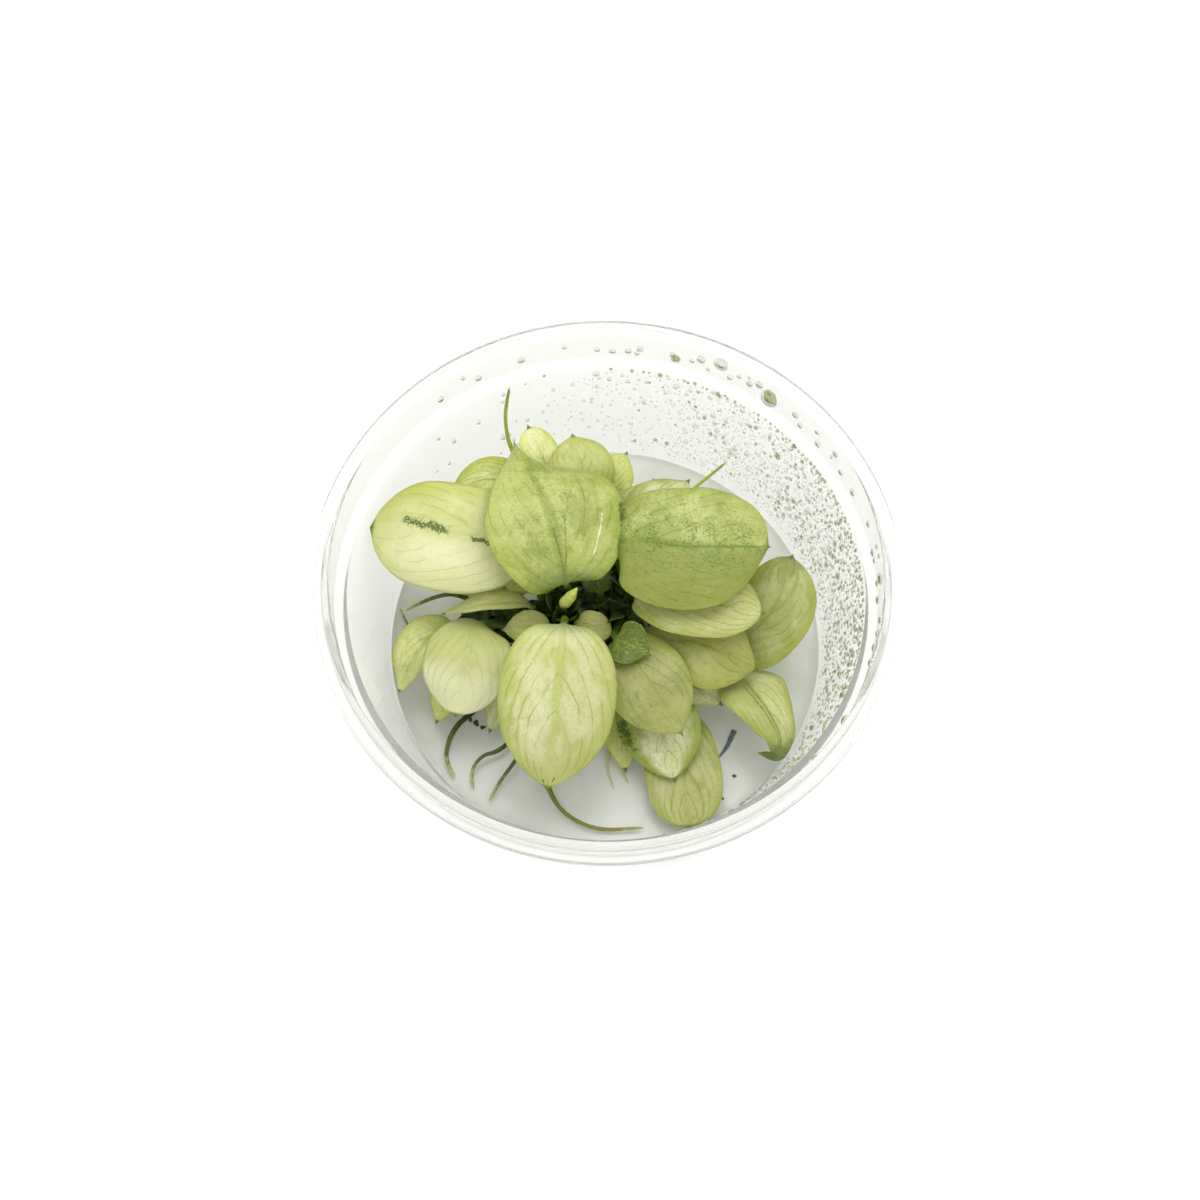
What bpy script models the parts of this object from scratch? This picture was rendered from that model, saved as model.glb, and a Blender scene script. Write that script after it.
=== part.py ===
"""Tissue-cultured anubias: a clump of leaves, stems and roots on nutrient gel in a clear cup.

The cup stands on the origin, +Z up, and is seen from -Y. Sizes are in millimetres and become metres
where a mesh or a curve is made.
"""

import math
from dataclasses import dataclass

import bmesh
import bpy
import numpy as np

MM = 0.001
GAP = 0.3  # left between pieces that touch

# Cup
FLANGE_DIAMETER = 105.0
FLANGE_WIDTH = 3.5  # from the lip to the outer edge
FLANGE_THICKNESS = 1.0
SKIRT_DEPTH = 2.2  # the turned-down edge of the flange
LIP_RISE = 0.6  # of the bead over the flange
CUP_HEIGHT = 45.0
STEP_DEPTH = 7.7  # of the lid's seat below the lip
STEP_WIDTH = 2.0
SEAT_DRAFT = 0.6  # taper of the wall above the step
WALL_SLOPE = 0.2375  # outward run of the wall for each unit of rise
WALL = 1.0
FLOOR = 1.2
FLOOR_ROUND = 2.5
FOOT_HEIGHT = 0.6  # of the ring the cup stands on
FOOT_WIDTH = 1.8
CUP_SIDES = 48

# Gel
GEL_DEPTH = 12.0
MENISCUS_RISE = 0.6
MENISCUS_WIDTH = 2.0

# Plant
LEAF_HALF_THICKNESS = 0.32
STALK_RADIUS = 0.65
STALK_FOOT_RADIUS = 0.85
COLLAR = 1.6  # straight run of a stalk off its stem
ROOT_RADIUS = 0.55
STALK_ROWS = 4
BLADE_ROWS = 9
SMALL_LEAF = 10.0  # a narrower leaf has fewer rows
SMALL_STALK_ROWS = 3
SMALL_BLADE_ROWS = 7
RING_SIDES = 8
STEM_ROWS = 8
ROOT_ROWS = 5

# The cup that the plant's points below were measured in: the gel's surface, the wall's radius there and
# its slope, and the room from there to the lip. Another cup stretches the plant to fit, but what lies
# within KEPT_RISE of the gel keeps its height.
MEASURED_SURFACE = 13.5
MEASURED_RADIUS = 40.7475
MEASURED_SLOPE = 0.2375
MEASURED_ROOM = 31.5
KEPT_RISE = 6.0

INNER_RADIUS = FLANGE_DIAMETER / 2 - FLANGE_WIDTH
STEP_Z = CUP_HEIGHT - STEP_DEPTH
STEP_RADIUS = INNER_RADIUS - SEAT_DRAFT - STEP_WIDTH
GEL_TOP = FLOOR + GAP + GEL_DEPTH


def wall_radius(z):
    """Inner radius of the cup's tapered wall at height z."""
    return STEP_RADIUS - (STEP_Z - z) * WALL_SLOPE


PLANT_RISE = (CUP_HEIGHT - GEL_TOP - KEPT_RISE) / (MEASURED_ROOM - KEPT_RISE)


def height(z):
    """The height in this cup of a point of the plant that was measured at z."""
    rise = z - MEASURED_SURFACE
    return GEL_TOP + min(rise, KEPT_RISE) + max(0, rise - KEPT_RISE) * PLANT_RISE


def spread(z):
    """How much wider this cup is, where the plant was measured at z."""
    return wall_radius(height(z)) / (MEASURED_RADIUS + (z - MEASURED_SURFACE) * MEASURED_SLOPE)


def placed(point):
    """A point of the plant, as measured, in this cup."""
    x, y, z = point
    return np.array((x * spread(z), y * spread(z), height(z)))


@dataclass(frozen=True)
class Stem:
    """A thick green stem: the points and radii along it, and the stem that it grows from, if any."""

    name: str
    points: tuple
    radii: tuple
    carrier: str = ""


@dataclass(frozen=True)
class Foot:
    """Where a stalk or a root leaves its stem: the share of the stem's length, and the way out."""

    stem: str
    along: float
    out: tuple


@dataclass(frozen=True)
class Leaf:
    """A leaf grown as one with its stalk.

    stalk holds the stalk's points between its collar and the blade. blade holds the midrib's base, its
    middle points and its tip. face is the way the upper side looks at the middle. cup raises the margins
    and fold creases the midrib, both as shares of the half width, and lobe is how far the base reaches
    back beside the stalk. Towards the tip, skew makes the side right of the midrib wider, and slant
    moves that side forwards and the other one back.
    """

    name: str
    foot: Foot
    stalk: tuple
    blade: tuple
    face: tuple
    width: float
    widest: float = 0.42
    point: float = 1.9  # 1 tapers straight to the tip, more is rounder
    blunt: float = 1.0  # less than 1 rounds the very tip
    cup: float = 0.12
    fold: float = 0.05
    lobe: float = 0.8
    skew: float = 0.0
    slant: float = 0.0
    colour: str = "pale"


@dataclass(frozen=True)
class Root:
    """A root: where it leaves its stem, and the points it runs through."""

    name: str
    foot: Foot
    points: tuple
    girth: float = 1.0


STEMS = (
    Stem(
        "rhizome",
        ((-17, -2.5, 17.2), (-8, -0.5, 17.6), (2, 0.5, 17.8), (12, -2, 17.5)),
        (2.2, 3.1, 3.1, 2.2),
    ),
    Stem("shoot_left", ((-8, -0.3, 21.3), (-8, 0, 25), (-7.8, 0.3, 28.2)), (2.3, 2.2, 1.5), "rhizome"),
    Stem("shoot_right", ((3, 0.8, 21.5), (3.2, 2.2, 25), (3.5, 4, 28)), (2.2, 2.1, 1.5), "rhizome"),
    Stem("shoot_back", ((-3, 4.1, 18.3), (-4, 11, 20), (-5, 17, 23.5)), (2.1, 2.1, 1.6), "rhizome"),
    Stem("shoot_front", ((6.3, -4.3, 17.3), (7, -6.7, 17.8), (8, -9, 18.6)), (1.9, 1.9, 1.4), "rhizome"),
    Stem(
        "shoot_far_left",
        ((-11.8, 0.1, 20.2), (-12.6, 1.2, 21.6), (-17.5, 2.4, 22.6), (-22.5, 2.4, 22)),
        (1.2, 1.3, 1.5, 1.1),
        "rhizome",
    ),
)

LEAVES = (
    Leaf(
        "leaf_front",
        Foot("shoot_left", 0.75, (0.1, -1, 0.2)),
        ((-7.4, -4, 32), (-7.4, -5.2, 36)),
        ((-7.5, -6.8, 37), (-8.5, -20, 35), (-10, -33.7, 27)),
        (0, -0.2, 1),
        21,
        point=2.5,
        blunt=0.8,
        cup=-0.1,
        lobe=1.5,
    ),
    Leaf(
        "leaf_back",
        Foot("shoot_left", 0.85, (0.5, 1, 0.3)),
        ((-6.8, 3.2, 31),),
        ((-7.4, 2.5, 35.5), (-8.8, 8.4, 38.5), (-10.9, 15.3, 40), (-13.8, 21.7, 39.5), (-17.2, 29.7, 37.5)),
        (0.1, -0.1, 1),
        26,
        widest=0.4,
        point=1.4,
        cup=0.04,
        fold=0.1,
        lobe=2.5,
        skew=0.3,
        slant=-0.45,
        colour="mottled",
    ),
    Leaf(
        "leaf_left",
        Foot("shoot_left", 0.7, (-0.5, 1, 0.3)),
        ((-10.5, 6, 30),),
        ((-13, 9, 32.5), (-28.5, 10.8, 37), (-43, 13, 35.4)),
        (0.1, -0.2, 1),
        20.5,
        widest=0.5,
        point=3,
        blunt=0.6,
        cup=-0.12,
        lobe=1.0,
    ),
    Leaf(
        "leaf_right",
        Foot("shoot_right", 0.9, (0, 1, 0.3)),
        ((2.4, 7.5, 32),),
        ((1.8, 9.2, 36), (15, 7.7, 40), (29, 8.8, 38)),
        (0, -0.15, 1),
        23,
        widest=0.45,
        point=3,
        blunt=0.6,
        cup=-0.12,
        lobe=2.0,
        slant=-0.3,
        colour="mottled",
    ),
    Leaf(
        "leaf_right_second",
        Foot("shoot_right", 0.8, (1, 0.4, 0.2)),
        (),
        ((6, 3.6, 30), (15.5, 0.2, 34), (28.3, -2, 33)),
        (0, -0.1, 1),
        15,
        point=2.6,
        blunt=0.7,
        lobe=0.5,
    ),
    Leaf(
        "leaf_right_third",
        Foot("shoot_right", 0.7, (0.7, -0.8, 0.2)),
        (),
        ((7.3, -3, 27), (17.2, -6.6, 29.8), (27.4, -10.4, 27)),
        (0.1, -0.2, 1),
        15,
        widest=0.55,
        point=2.4,
        cup=-0.1,
        lobe=0,
        skew=0.15,
    ),
    Leaf(
        "leaf_right_wall",
        Foot("rhizome", 0.93, (0.3, 0.5, 1)),
        ((16, -1.5, 20.5),),
        ((21, -3.5, 22), (29.5, -0.5, 28), (34, 9.4, 32.5)),
        (-0.3, -0.2, 1),
        16,
        point=2.6,
        blunt=0.6,
        cup=-0.1,
        colour="green",
    ),
    Leaf(
        "leaf_hooked",
        Foot("rhizome", 0.98, (0, -1, -0.1)),
        ((18, -6.5, 17.6),),
        ((23.5, -8.6, 20), (27, -13.6, 23.6), (30.2, -18.9, 24.6), (31.8, -22.7, 23.6), (31.2, -25.4, 22), (28.6, -24.7, 21)),
        (0.3, -0.1, 1),
        12.5,
        widest=0.36,
        point=1.1,
        cup=-0.2,
        fold=0.3,
        lobe=0,
        colour="green",
    ),
    Leaf(
        "leaf_round",
        Foot("rhizome", 0.1, (-0.3, 0.1, 1)),
        ((-19, -1.2, 24),),
        ((-22.8, -2.6, 27.5), (-25.2, -11, 29.5), (-27, -18.9, 24)),
        (-0.1, -0.3, 1),
        16,
        point=2.6,
        blunt=0.6,
        cup=-0.15,
        lobe=1.0,
    ),
    Leaf(
        "leaf_far_left",
        Foot("rhizome", 0.02, (0, 0.6, 0.8)),
        ((-23, 0, 20.5),),
        ((-28.2, -0.4, 21.8), (-34.3, -6.5, 23.6), (-38, -12.5, 19)),
        (-0.6, -0.3, 1),
        9,
        fold=0.35,
        lobe=0,
        colour="green",
    ),
    Leaf(
        "leaf_left_narrow",
        Foot("shoot_left", 0.45, (-1, -0.2, 0.1)),
        (),
        ((-13.5, 0.5, 28), (-21, -0.3, 31), (-29.5, -0.8, 28)),
        (0, 0.5, 0.87),
        6,
        fold=0.25,
        lobe=0,
        colour="green",
    ),
    Leaf(
        "leaf_left_second",
        Foot("shoot_left", 0.3, (-0.7, 0.7, 0)),
        (),
        ((-13, 6.5, 25.5), (-19, 6.5, 28), (-28.5, 4.5, 27)),
        (0, -0.2, 1),
        8,
        lobe=0,
    ),
    Leaf(
        "leaf_left_small",
        Foot("shoot_left", 0.55, (-0.8, 0.4, 0)),
        (),
        ((-12, 4, 27.5), (-15, 5, 29.3), (-18.5, 4, 29.3)),
        (0, -0.2, 1),
        4,
        fold=0.3,
        lobe=0,
        colour="green",
    ),
    Leaf(
        "leaf_crown_left",
        Foot("shoot_left", 0.5, (-0.5, -0.8, 0.1)),
        (),
        ((-10.3, -3.8, 28.5), (-14, -4.3, 30.5), (-18.5, -3.8, 28)),
        (0, -0.2, 1),
        6,
        lobe=0,
        colour="green",
    ),
    Leaf(
        "leaf_crown_right",
        Foot("shoot_left", 0.6, (0.8, -0.6, 0.1)),
        (),
        ((-5.2, -3, 29.5), (-2.5, -4.2, 31), (1, -5, 29.5)),
        (0, -0.2, 1),
        5.5,
        blunt=0.6,
        lobe=0.3,
        colour="green",
    ),
    Leaf(
        "leaf_small_dark",
        Foot("shoot_right", 0.5, (-0.2, -1, 0)),
        (),
        ((2, -6.6, 31), (4, -8.2, 32.9), (7.7, -10, 32.2)),
        (0, -0.3, 1),
        8,
        lobe=0.3,
        colour="dark",
    ),
    Leaf(
        "leaf_front_right",
        Foot("rhizome", 0.72, (0, -0.8, 0.7)),
        (),
        ((2, -5.5, 27.3), (6.8, -13.6, 30.8), (13.7, -23.4, 28)),
        (0.1, -0.3, 1),
        15.4,
        widest=0.5,
        point=2.3,
        blunt=0.85,
        cup=-0.1,
        lobe=0.5,
    ),
    Leaf(
        "leaf_front_right_second",
        Foot("shoot_front", 0.4, (-0.8, 0, 1)),
        (),
        ((6.5, -11.5, 20), (10.3, -20.5, 22), (12.8, -29, 19)),
        (0, -0.3, 1),
        15,
        point=2.3,
        blunt=0.8,
        cup=-0.12,
        lobe=0.3,
        colour="green",
    ),
    Leaf(
        "leaf_front_low",
        Foot("shoot_front", 0.9, (0.6, -1, 0)),
        (),
        ((11.5, -14, 16.5), (14.3, -26, 17.3), (15.6, -37, 15.6)),
        (0, -0.1, 1),
        14,
        widest=0.55,
        point=3.5,
        blunt=0.55,
        cup=0.05,
        fold=0.12,
        lobe=0,
    ),
    Leaf(
        "leaf_right_low",
        Foot("shoot_front", 0.6, (1, 0.1, 0.6)),
        (),
        ((12, -8, 21.5), (16.5, -12, 23), (21.2, -15.2, 21.4)),
        (0, -0.3, 1),
        8,
        lobe=0,
    ),
    Leaf(
        "leaf_front_yellow",
        Foot("rhizome", 0.55, (0, -1, 0)),
        (),
        ((1, -8.5, 17), (3, -17.5, 18), (4, -26, 15.4)),
        (0, -0.2, 1),
        9.5,
        cup=0,
        lobe=0,
        colour="yellow",
    ),
    Leaf(
        "leaf_left_low",
        Foot("rhizome", 0.03, (-0.7, -0.8, 0.4)),
        (),
        ((-22, -7, 19), (-28, -11.5, 20), (-31, -17.5, 16.5)),
        (0, -0.2, 1),
        8,
        lobe=0,
        colour="yellow",
    ),
    Leaf(
        "leaf_left_low_second",
        Foot("rhizome", 0.17, (-0.1, -1, 0.4)),
        (),
        ((-15.5, -7.5, 18.5), (-18.5, -13.5, 19.5), (-21, -19.5, 17.5)),
        (0, -0.2, 1),
        7,
        lobe=0,
    ),
    Leaf(
        "leaf_rear_bright",
        Foot("shoot_back", 0.97, (-0.5, 0.7, 0.5)),
        (),
        ((-9.2, 24, 27.5), (-12.2, 29.6, 31.4), (-14.9, 35.4, 33)),
        (0.1, -0.4, 1),
        7,
        widest=0.55,
        point=2.6,
        blunt=0.6,
        lobe=0,
        colour="yellow",
    ),
    Leaf(
        "leaf_rear_left",
        Foot("shoot_back", 0.8, (-1, 0.2, 0.5)),
        (),
        ((-14, 23, 28), (-22.5, 25, 31.5), (-29.5, 22.5, 30)),
        (0.1, -0.3, 1),
        9,
        lobe=0,
        colour="green",
    ),
    Leaf(
        "leaf_rear_middle",
        Foot("shoot_back", 0.85, (0.1, -0.4, 1)),
        (),
        ((-4.2, 21.5, 29.5), (-5, 27, 32.5), (-6.6, 34, 32.5)),
        (0.1, -0.4, 1),
        12.5,
        blunt=0.75,
        lobe=0,
        colour="green",
    ),
    Leaf(
        "leaf_rear_yellow",
        Foot("shoot_back", 0.9, (1, 0.5, 0.4)),
        (),
        ((-0.5, 23.5, 26), (1.5, 28.5, 29), (3.5, 32.5, 28.5)),
        (0, -0.4, 1),
        8,
        lobe=0,
        colour="yellow",
    ),
    Leaf(
        "leaf_rear_right",
        Foot("shoot_back", 0.7, (1, 0.1, 0.2)),
        (),
        ((3, 17.5, 25), (6, 21.5, 28), (8.5, 26.5, 29)),
        (-0.1, -0.4, 1),
        9,
        lobe=0,
    ),
    Leaf(
        "leaf_rear_right_high",
        Foot("shoot_back", 0.45, (1, 0, 0.5)),
        ((3, 12, 25.5),),
        ((6, 13.5, 28.5), (9.5, 18.5, 31.5), (15, 25, 32)),
        (-0.1, -0.3, 1),
        13,
        lobe=0,
    ),
    Leaf(
        "leaf_yellow_folded",
        Foot("shoot_back", 0.5, (0.2, -0.2, 1)),
        ((-2.5, 11.5, 27),),
        ((-1, 12, 30.5), (1.2, 14.5, 33.5), (4.5, 19, 34.2)),
        (-0.3, -0.4, 1),
        7,
        fold=0.3,
        lobe=0,
        colour="yellow",
    ),
    Leaf(
        "leaf_inner_low",
        Foot("rhizome", 0.62, (0, 1, 0.4)),
        (),
        ((4.5, 6.3, 20.5), (8.5, 8, 22), (14, 9.5, 21.5)),
        (-0.1, -0.4, 1),
        9,
        lobe=0,
        colour="dark",
    ),
    Leaf(
        "leaf_inner_dark",
        Foot("shoot_right", 0.55, (-0.9, 0.4, 0)),
        (),
        ((-1, 4.5, 26.5), (-1.6, 7.5, 29.3), (-1, 10.3, 30.2)),
        (-0.1, -0.6, 1),
        6,
        lobe=0,
        colour="dark",
    ),
)

YOUNG_LEAF = Stem(
    "young_leaf",
    ((-7.7, 0.4, 29.2), (-7.5, 0.2, 31), (-6.3, 0.6, 33.5), (-5.3, 1.2, 35.6)),
    (0.7, 1.2, 1.1, 0.2),
    "shoot_left",
)

ROOTS = (
    Root(
        "root_rising",
        Foot("shoot_back", 0.75, (-1, 0.3, -0.2)),
        ((-13, 26, 24), (-18.5, 34, 28.5), (-19.3, 37, 35), (-18.4, 39.5, 41)),
    ),
    Root(
        "root_back_right",
        Foot("shoot_back", 0.4, (1, 0, -0.3)),
        ((6, 18, 21), (15.5, 26, 25.5), (22.5, 31, 28.5)),
        girth=0.9,
    ),
    Root(
        "root_left",
        Foot("rhizome", 0.2, (0, 1, 0.1)),
        ((-22, 4, 20), (-29, 6, 21.5), (-34, 5.5, 19.5), (-38, 4.5, 17)),
    ),
    Root(
        "root_left_low",
        Foot("rhizome", 0.06, (0, 1, -0.6)),
        ((-26, 0.5, 14.4), (-36, 0.8, 14.3), (-38.3, 4, 14.4), (-39.3, 6, 14.9)),
        girth=0.8,
    ),
    Root(
        "root_front_left",
        Foot("rhizome", 0.06, (0, -1, -0.5)),
        ((-20, -9, 15), (-24, -14.5, 15.3), (-28, -19.5, 16), (-29, -24.5, 15), (-27.3, -28, 14.7)),
        girth=1.2,
    ),
    Root(
        "root_front_short",
        Foot("rhizome", 0.25, (0, -1, -0.5)),
        ((-15, -15, 15), (-19, -22.5, 15.5), (-23, -24.5, 15.5), (-24.3, -27.5, 15), (-23.8, -30, 14.6)),
    ),
    Root(
        "root_front_middle",
        Foot("rhizome", 0.3, (0, -1, -0.3)),
        ((-12, -16, 14.8), (-16.5, -25, 15.5), (-19.5, -29.5, 15), (-21, -32.5, 14.7)),
    ),
    Root(
        "root_front_long",
        Foot("rhizome", 0.47, (0, -1, -0.2)),
        ((-6.5, -9, 15.5), (-8.5, -18, 14.8), (-10, -30, 15.5), (-7.5, -34, 15), (-2, -37, 14.6), (7.5, -37, 14.6)),
    ),
)

COLOURS = {
    "cup": (0.95, 0.96, 0.95, 0.15),
    "gel": (0.80, 0.82, 0.78, 1),
    "stem": (0.08, 0.14, 0.02, 1),
    "root": (0.14, 0.16, 0.04, 1),
    "pale": (0.70, 0.74, 0.34, 1),
    "mottled": (0.38, 0.47, 0.09, 1),
    "green": (0.46, 0.56, 0.12, 1),
    "dark": (0.13, 0.20, 0.02, 1),
    "yellow": (0.65, 0.72, 0.15, 1),
}


def clear_scene():
    """Remove what the scene starts with."""
    for obj in list(bpy.data.objects):
        bpy.data.objects.remove(obj, do_unlink=True)


def new_collection(name):
    """A collection of this name, linked into the scene."""
    collection = bpy.data.collections.new(name)
    bpy.context.scene.collection.children.link(collection)
    return collection


def dress(obj, colour, roughness=0.4):
    """Give the object a Principled material of its own."""
    material = bpy.data.materials.new(obj.name)
    material.use_nodes = True
    shader = material.node_tree.nodes["Principled BSDF"]
    shader.inputs["Base Color"].default_value = (*COLOURS[colour][:3], 1)
    shader.inputs["Alpha"].default_value = COLOURS[colour][3]
    shader.inputs["Roughness"].default_value = roughness
    shader.inputs["Metallic"].default_value = 0
    obj.data.materials.append(material)


def unit(vector):
    """The vector at length one."""
    vector = np.asarray(vector, float)
    return vector / np.linalg.norm(vector)


def smooth_path(points, count):
    """A smooth curve through the points, as count points at even distances along it."""
    points = np.array(points, float)
    knots = np.concatenate([[0], np.cumsum(np.linalg.norm(np.diff(points, axis=0), axis=1))])
    slopes = np.gradient(points, knots, axis=0)
    dense = []
    for i in range(len(points) - 1):
        span = knots[i + 1] - knots[i]
        for t in np.linspace(0, 1, 40, endpoint=i == len(points) - 2):
            start = (1 + 2 * t) * (1 - t) ** 2 * points[i] + t * (1 - t) ** 2 * span * slopes[i]
            end = t * t * (3 - 2 * t) * points[i + 1] + t * t * (t - 1) * span * slopes[i + 1]
            dense.append(start + end)
    return even(np.array(dense), count)


def even(dense, count):
    """The line through the dense points, as count points at even distances along it."""
    length = np.concatenate([[0], np.cumsum(np.linalg.norm(np.diff(dense, axis=0), axis=1))])
    stations = np.linspace(0, length[-1], count)
    return np.stack([np.interp(stations, length, dense[:, axis]) for axis in range(3)], axis=1)


def stem_shift(stem):
    """How far the stem moves in this cup, to keep its base as near its carrier as was measured."""
    if not stem.carrier:
        return np.zeros(3)
    carrier = next(other for other in STEMS if other.name == stem.carrier)
    base = np.array(stem.points[0], float)
    line = smooth_path(carrier.points, STEM_ROWS)
    near = min(line, key=lambda point: np.linalg.norm(point - base))
    return stem_shift(carrier) + placed(near) - near + base - placed(base)


def stem_line(stem):
    """Points along the stem's axis and the radius at each."""
    shift = stem_shift(stem)
    points = smooth_path([placed(point) + shift for point in stem.points], STEM_ROWS)
    share = np.linspace(0, len(stem.radii) - 1, STEM_ROWS)
    return points, np.interp(share, range(len(stem.radii)), stem.radii)


def foot_of(foot):
    """The point just off the stem's surface, and the way out from it."""
    stem = next(stem for stem in STEMS if stem.name == foot.stem)
    points, radii = stem_line(stem)
    station = foot.along * (STEM_ROWS - 1)
    index = min(int(station), STEM_ROWS - 2)
    axis = unit(points[index + 1] - points[index])
    centre = points[index] + (points[index + 1] - points[index]) * (station - index)
    out = np.array(foot.out, float)
    out = unit(out - axis * np.dot(out, axis))
    radius = np.interp(station, range(STEM_ROWS), radii)
    return centre + out * (radius + GAP), out


def rod(name, points, radii, collection, colour, sides_level):
    """A curve of round section through the points, with its ends closed."""
    data = bpy.data.curves.new(name, "CURVE")
    data.dimensions = "3D"
    data.bevel_depth = MM
    data.bevel_resolution = sides_level
    data.use_fill_caps = True
    spline = data.splines.new("POLY")
    spline.points.add(len(points) - 1)
    for spot, point, radius in zip(spline.points, points, radii):
        spot.co = (*(point * MM), 1)
        spot.radius = radius
    obj = bpy.data.objects.new(name, data)
    collection.objects.link(obj)
    dress(obj, colour)
    return obj


def make_stem(stem, collection):
    """A stem with a rounded growing end."""
    points, radii = stem_line(stem)
    end = unit(points[-1] - points[-2])
    tip = [points[-1] + end * radii[-1] * 0.25, points[-1] + end * radii[-1] * 0.4]
    radii = [*radii, radii[-1] * 0.75, radii[-1] * 0.35]
    rod(stem.name, [*points, *tip], radii, collection, "stem", 2)


def make_root(root, collection):
    """A root that thins a little along its length and ends in a blunt point."""
    start, out = foot_of(root.foot)
    points = [start, start + out * COLLAR, *(placed(point) for point in root.points)]
    line = smooth_path(points, ROOT_ROWS + 2 * len(root.points))
    share = np.linspace(0, 1, len(line))
    radii = ROOT_RADIUS * root.girth * (1 - 0.3 * share)
    radii[-1] *= 0.4
    rod(root.name, line, radii, collection, "root", 1)


def blade_width(leaf, share):
    """Half width of the blade at this share of its length."""
    if share < leaf.widest:
        rise = 1 - share / leaf.widest
        return leaf.width / 2 * math.sqrt(max(0, 1 - rise * rise))
    fall = (share - leaf.widest) / (1 - leaf.widest)
    return leaf.width / 2 * (1 - fall**leaf.point) ** leaf.blunt


def leaf_frames(line, start, middle, face):
    """The way along, across and out of the leaf's face at each point, from the start off the stem."""
    along = np.gradient(line, axis=0)
    along /= np.linalg.norm(along, axis=1)[:, None]
    along[0] = start
    out = np.zeros_like(line)
    out[middle] = unit(face - along[middle] * np.dot(face, along[middle]))
    for step, stop in ((1, len(line)), (-1, -1)):
        for i in range(middle + step, stop, step):
            before = out[i - step]
            out[i] = unit(before - along[i] * np.dot(before, along[i]))
    return along, np.cross(along, out), out


def leaf_line(leaf, stalk_rows, blade_rows):
    """Points along the stalk and midrib, each one's share of the blade, below 0 on the stalk, and the start."""
    start, out = foot_of(leaf.foot)
    stalk = [start, start + out * COLLAR, *(placed(point) for point in leaf.stalk)]
    blade = [placed(point) for point in leaf.blade]
    dense = smooth_path([*stalk, *blade], 400)
    base = int(np.argmin(np.linalg.norm(dense - blade[0], axis=1)))
    line = np.concatenate([even(dense[: base + 1], stalk_rows + 1), even(dense[base:], blade_rows + 1)[1:]])
    shares = np.concatenate([np.linspace(-1, 0, stalk_rows + 1), np.linspace(0, 1, blade_rows + 1)[1:]])
    return line, shares, out


def leaf_surface(leaf, stalk_rows, blade_rows):
    """A function that gives the leaf's surface point at a row and an angle round the section."""
    line, shares, start = leaf_line(leaf, stalk_rows, blade_rows)
    middle = stalk_rows + blade_rows // 2
    grown = spread(leaf.blade[-1][2])
    along, across, out = leaf_frames(line, start, middle, np.array(leaf.face, float))

    def surface(row, angle):
        share = shares[row]
        side, depth = math.cos(angle), math.sin(angle)
        if share < 0:
            radius = STALK_RADIUS + (STALK_FOOT_RADIUS - STALK_RADIUS) * share**2
            return line[row] + radius * (across[row] * side + out[row] * depth)
        if row == len(line) - 1:
            return line[row]
        wide = blade_width(leaf, share) * grown
        half = max(wide, STALK_RADIUS)
        opened = min(1, wide / (leaf.width / 4))
        thick = STALK_RADIUS + (LEAF_HALF_THICKNESS - STALK_RADIUS) * opened
        skew = leaf.skew * share**2 * opened
        reach = side * half * (1 + (skew if side > 0 else -skew))
        lift = opened * abs(reach) * (leaf.cup * abs(side) + leaf.fold)
        forth = leaf.slant * reach * share**2
        forth -= leaf.lobe * opened * side * side * max(0, 1 - share / leaf.widest)
        return line[row] + across[row] * reach + out[row] * (thick * depth + lift) + along[row] * forth

    return surface


def loft(name, rows, ring, surface, collection, colour):
    """A closed solid whose rows of ring points are given by surface(row, angle)."""
    mesh = bmesh.new()
    bmesh.ops.create_grid(mesh, x_segments=rows, y_segments=ring, size=0.5)
    for vertex in mesh.verts:
        row = round((vertex.co.x + 0.5) * rows)
        angle = 2 * math.pi * (round((vertex.co.y + 0.5) * ring) % ring) / ring
        vertex.co = surface(row, angle) * MM
    bmesh.ops.remove_doubles(mesh, verts=mesh.verts, dist=1e-7)
    rim = [edge for edge in mesh.edges if edge.is_boundary]
    bmesh.ops.contextual_create(mesh, geom=rim)
    bmesh.ops.recalc_face_normals(mesh, faces=mesh.faces)
    data = bpy.data.meshes.new(name)
    mesh.to_mesh(data)
    mesh.free()
    data.shade_smooth()
    obj = bpy.data.objects.new(name, data)
    collection.objects.link(obj)
    dress(obj, colour)
    return obj


def make_leaf(leaf, collection):
    """One leaf with its stalk."""
    small = leaf.width < SMALL_LEAF
    stalk_rows = SMALL_STALK_ROWS if small else STALK_ROWS
    blade_rows = SMALL_BLADE_ROWS if small else BLADE_ROWS
    surface = leaf_surface(leaf, stalk_rows, blade_rows)
    loft(leaf.name, stalk_rows + blade_rows, RING_SIDES, surface, collection, leaf.colour)


def make_young_leaf(collection):
    """The rolled young leaf at the top of the left shoot."""
    points, radii = stem_line(YOUNG_LEAF)
    rod(YOUNG_LEAF.name, points, radii, collection, "yellow", 2)


def turned(name, profile, collection, colour, roughness):
    """A solid turned from a profile that runs from the axis, up the inside and down the outside."""
    data = bpy.data.meshes.new(name)
    points = [(radius * MM, 0, z * MM) for radius, z in profile]
    data.from_pydata(points, [(i, i + 1) for i in range(len(points) - 1)], [])
    obj = bpy.data.objects.new(name, data)
    collection.objects.link(obj)
    screw = obj.modifiers.new("Turn", "SCREW")
    screw.axis = "Z"
    screw.steps = CUP_SIDES
    screw.render_steps = CUP_SIDES
    screw.use_merge_vertices = True
    screw.merge_threshold = 1e-5
    screw.use_smooth_shade = True
    dress(obj, colour, roughness)
    return obj


def quarter(centre, radius, start, count):
    """Points on a quarter turn about the centre, from the angle start in degrees, going up."""
    angles = np.radians(np.linspace(start, start + 90, count))
    return [(centre[0] + radius * math.cos(a), centre[1] + radius * math.sin(a)) for a in angles]


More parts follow.
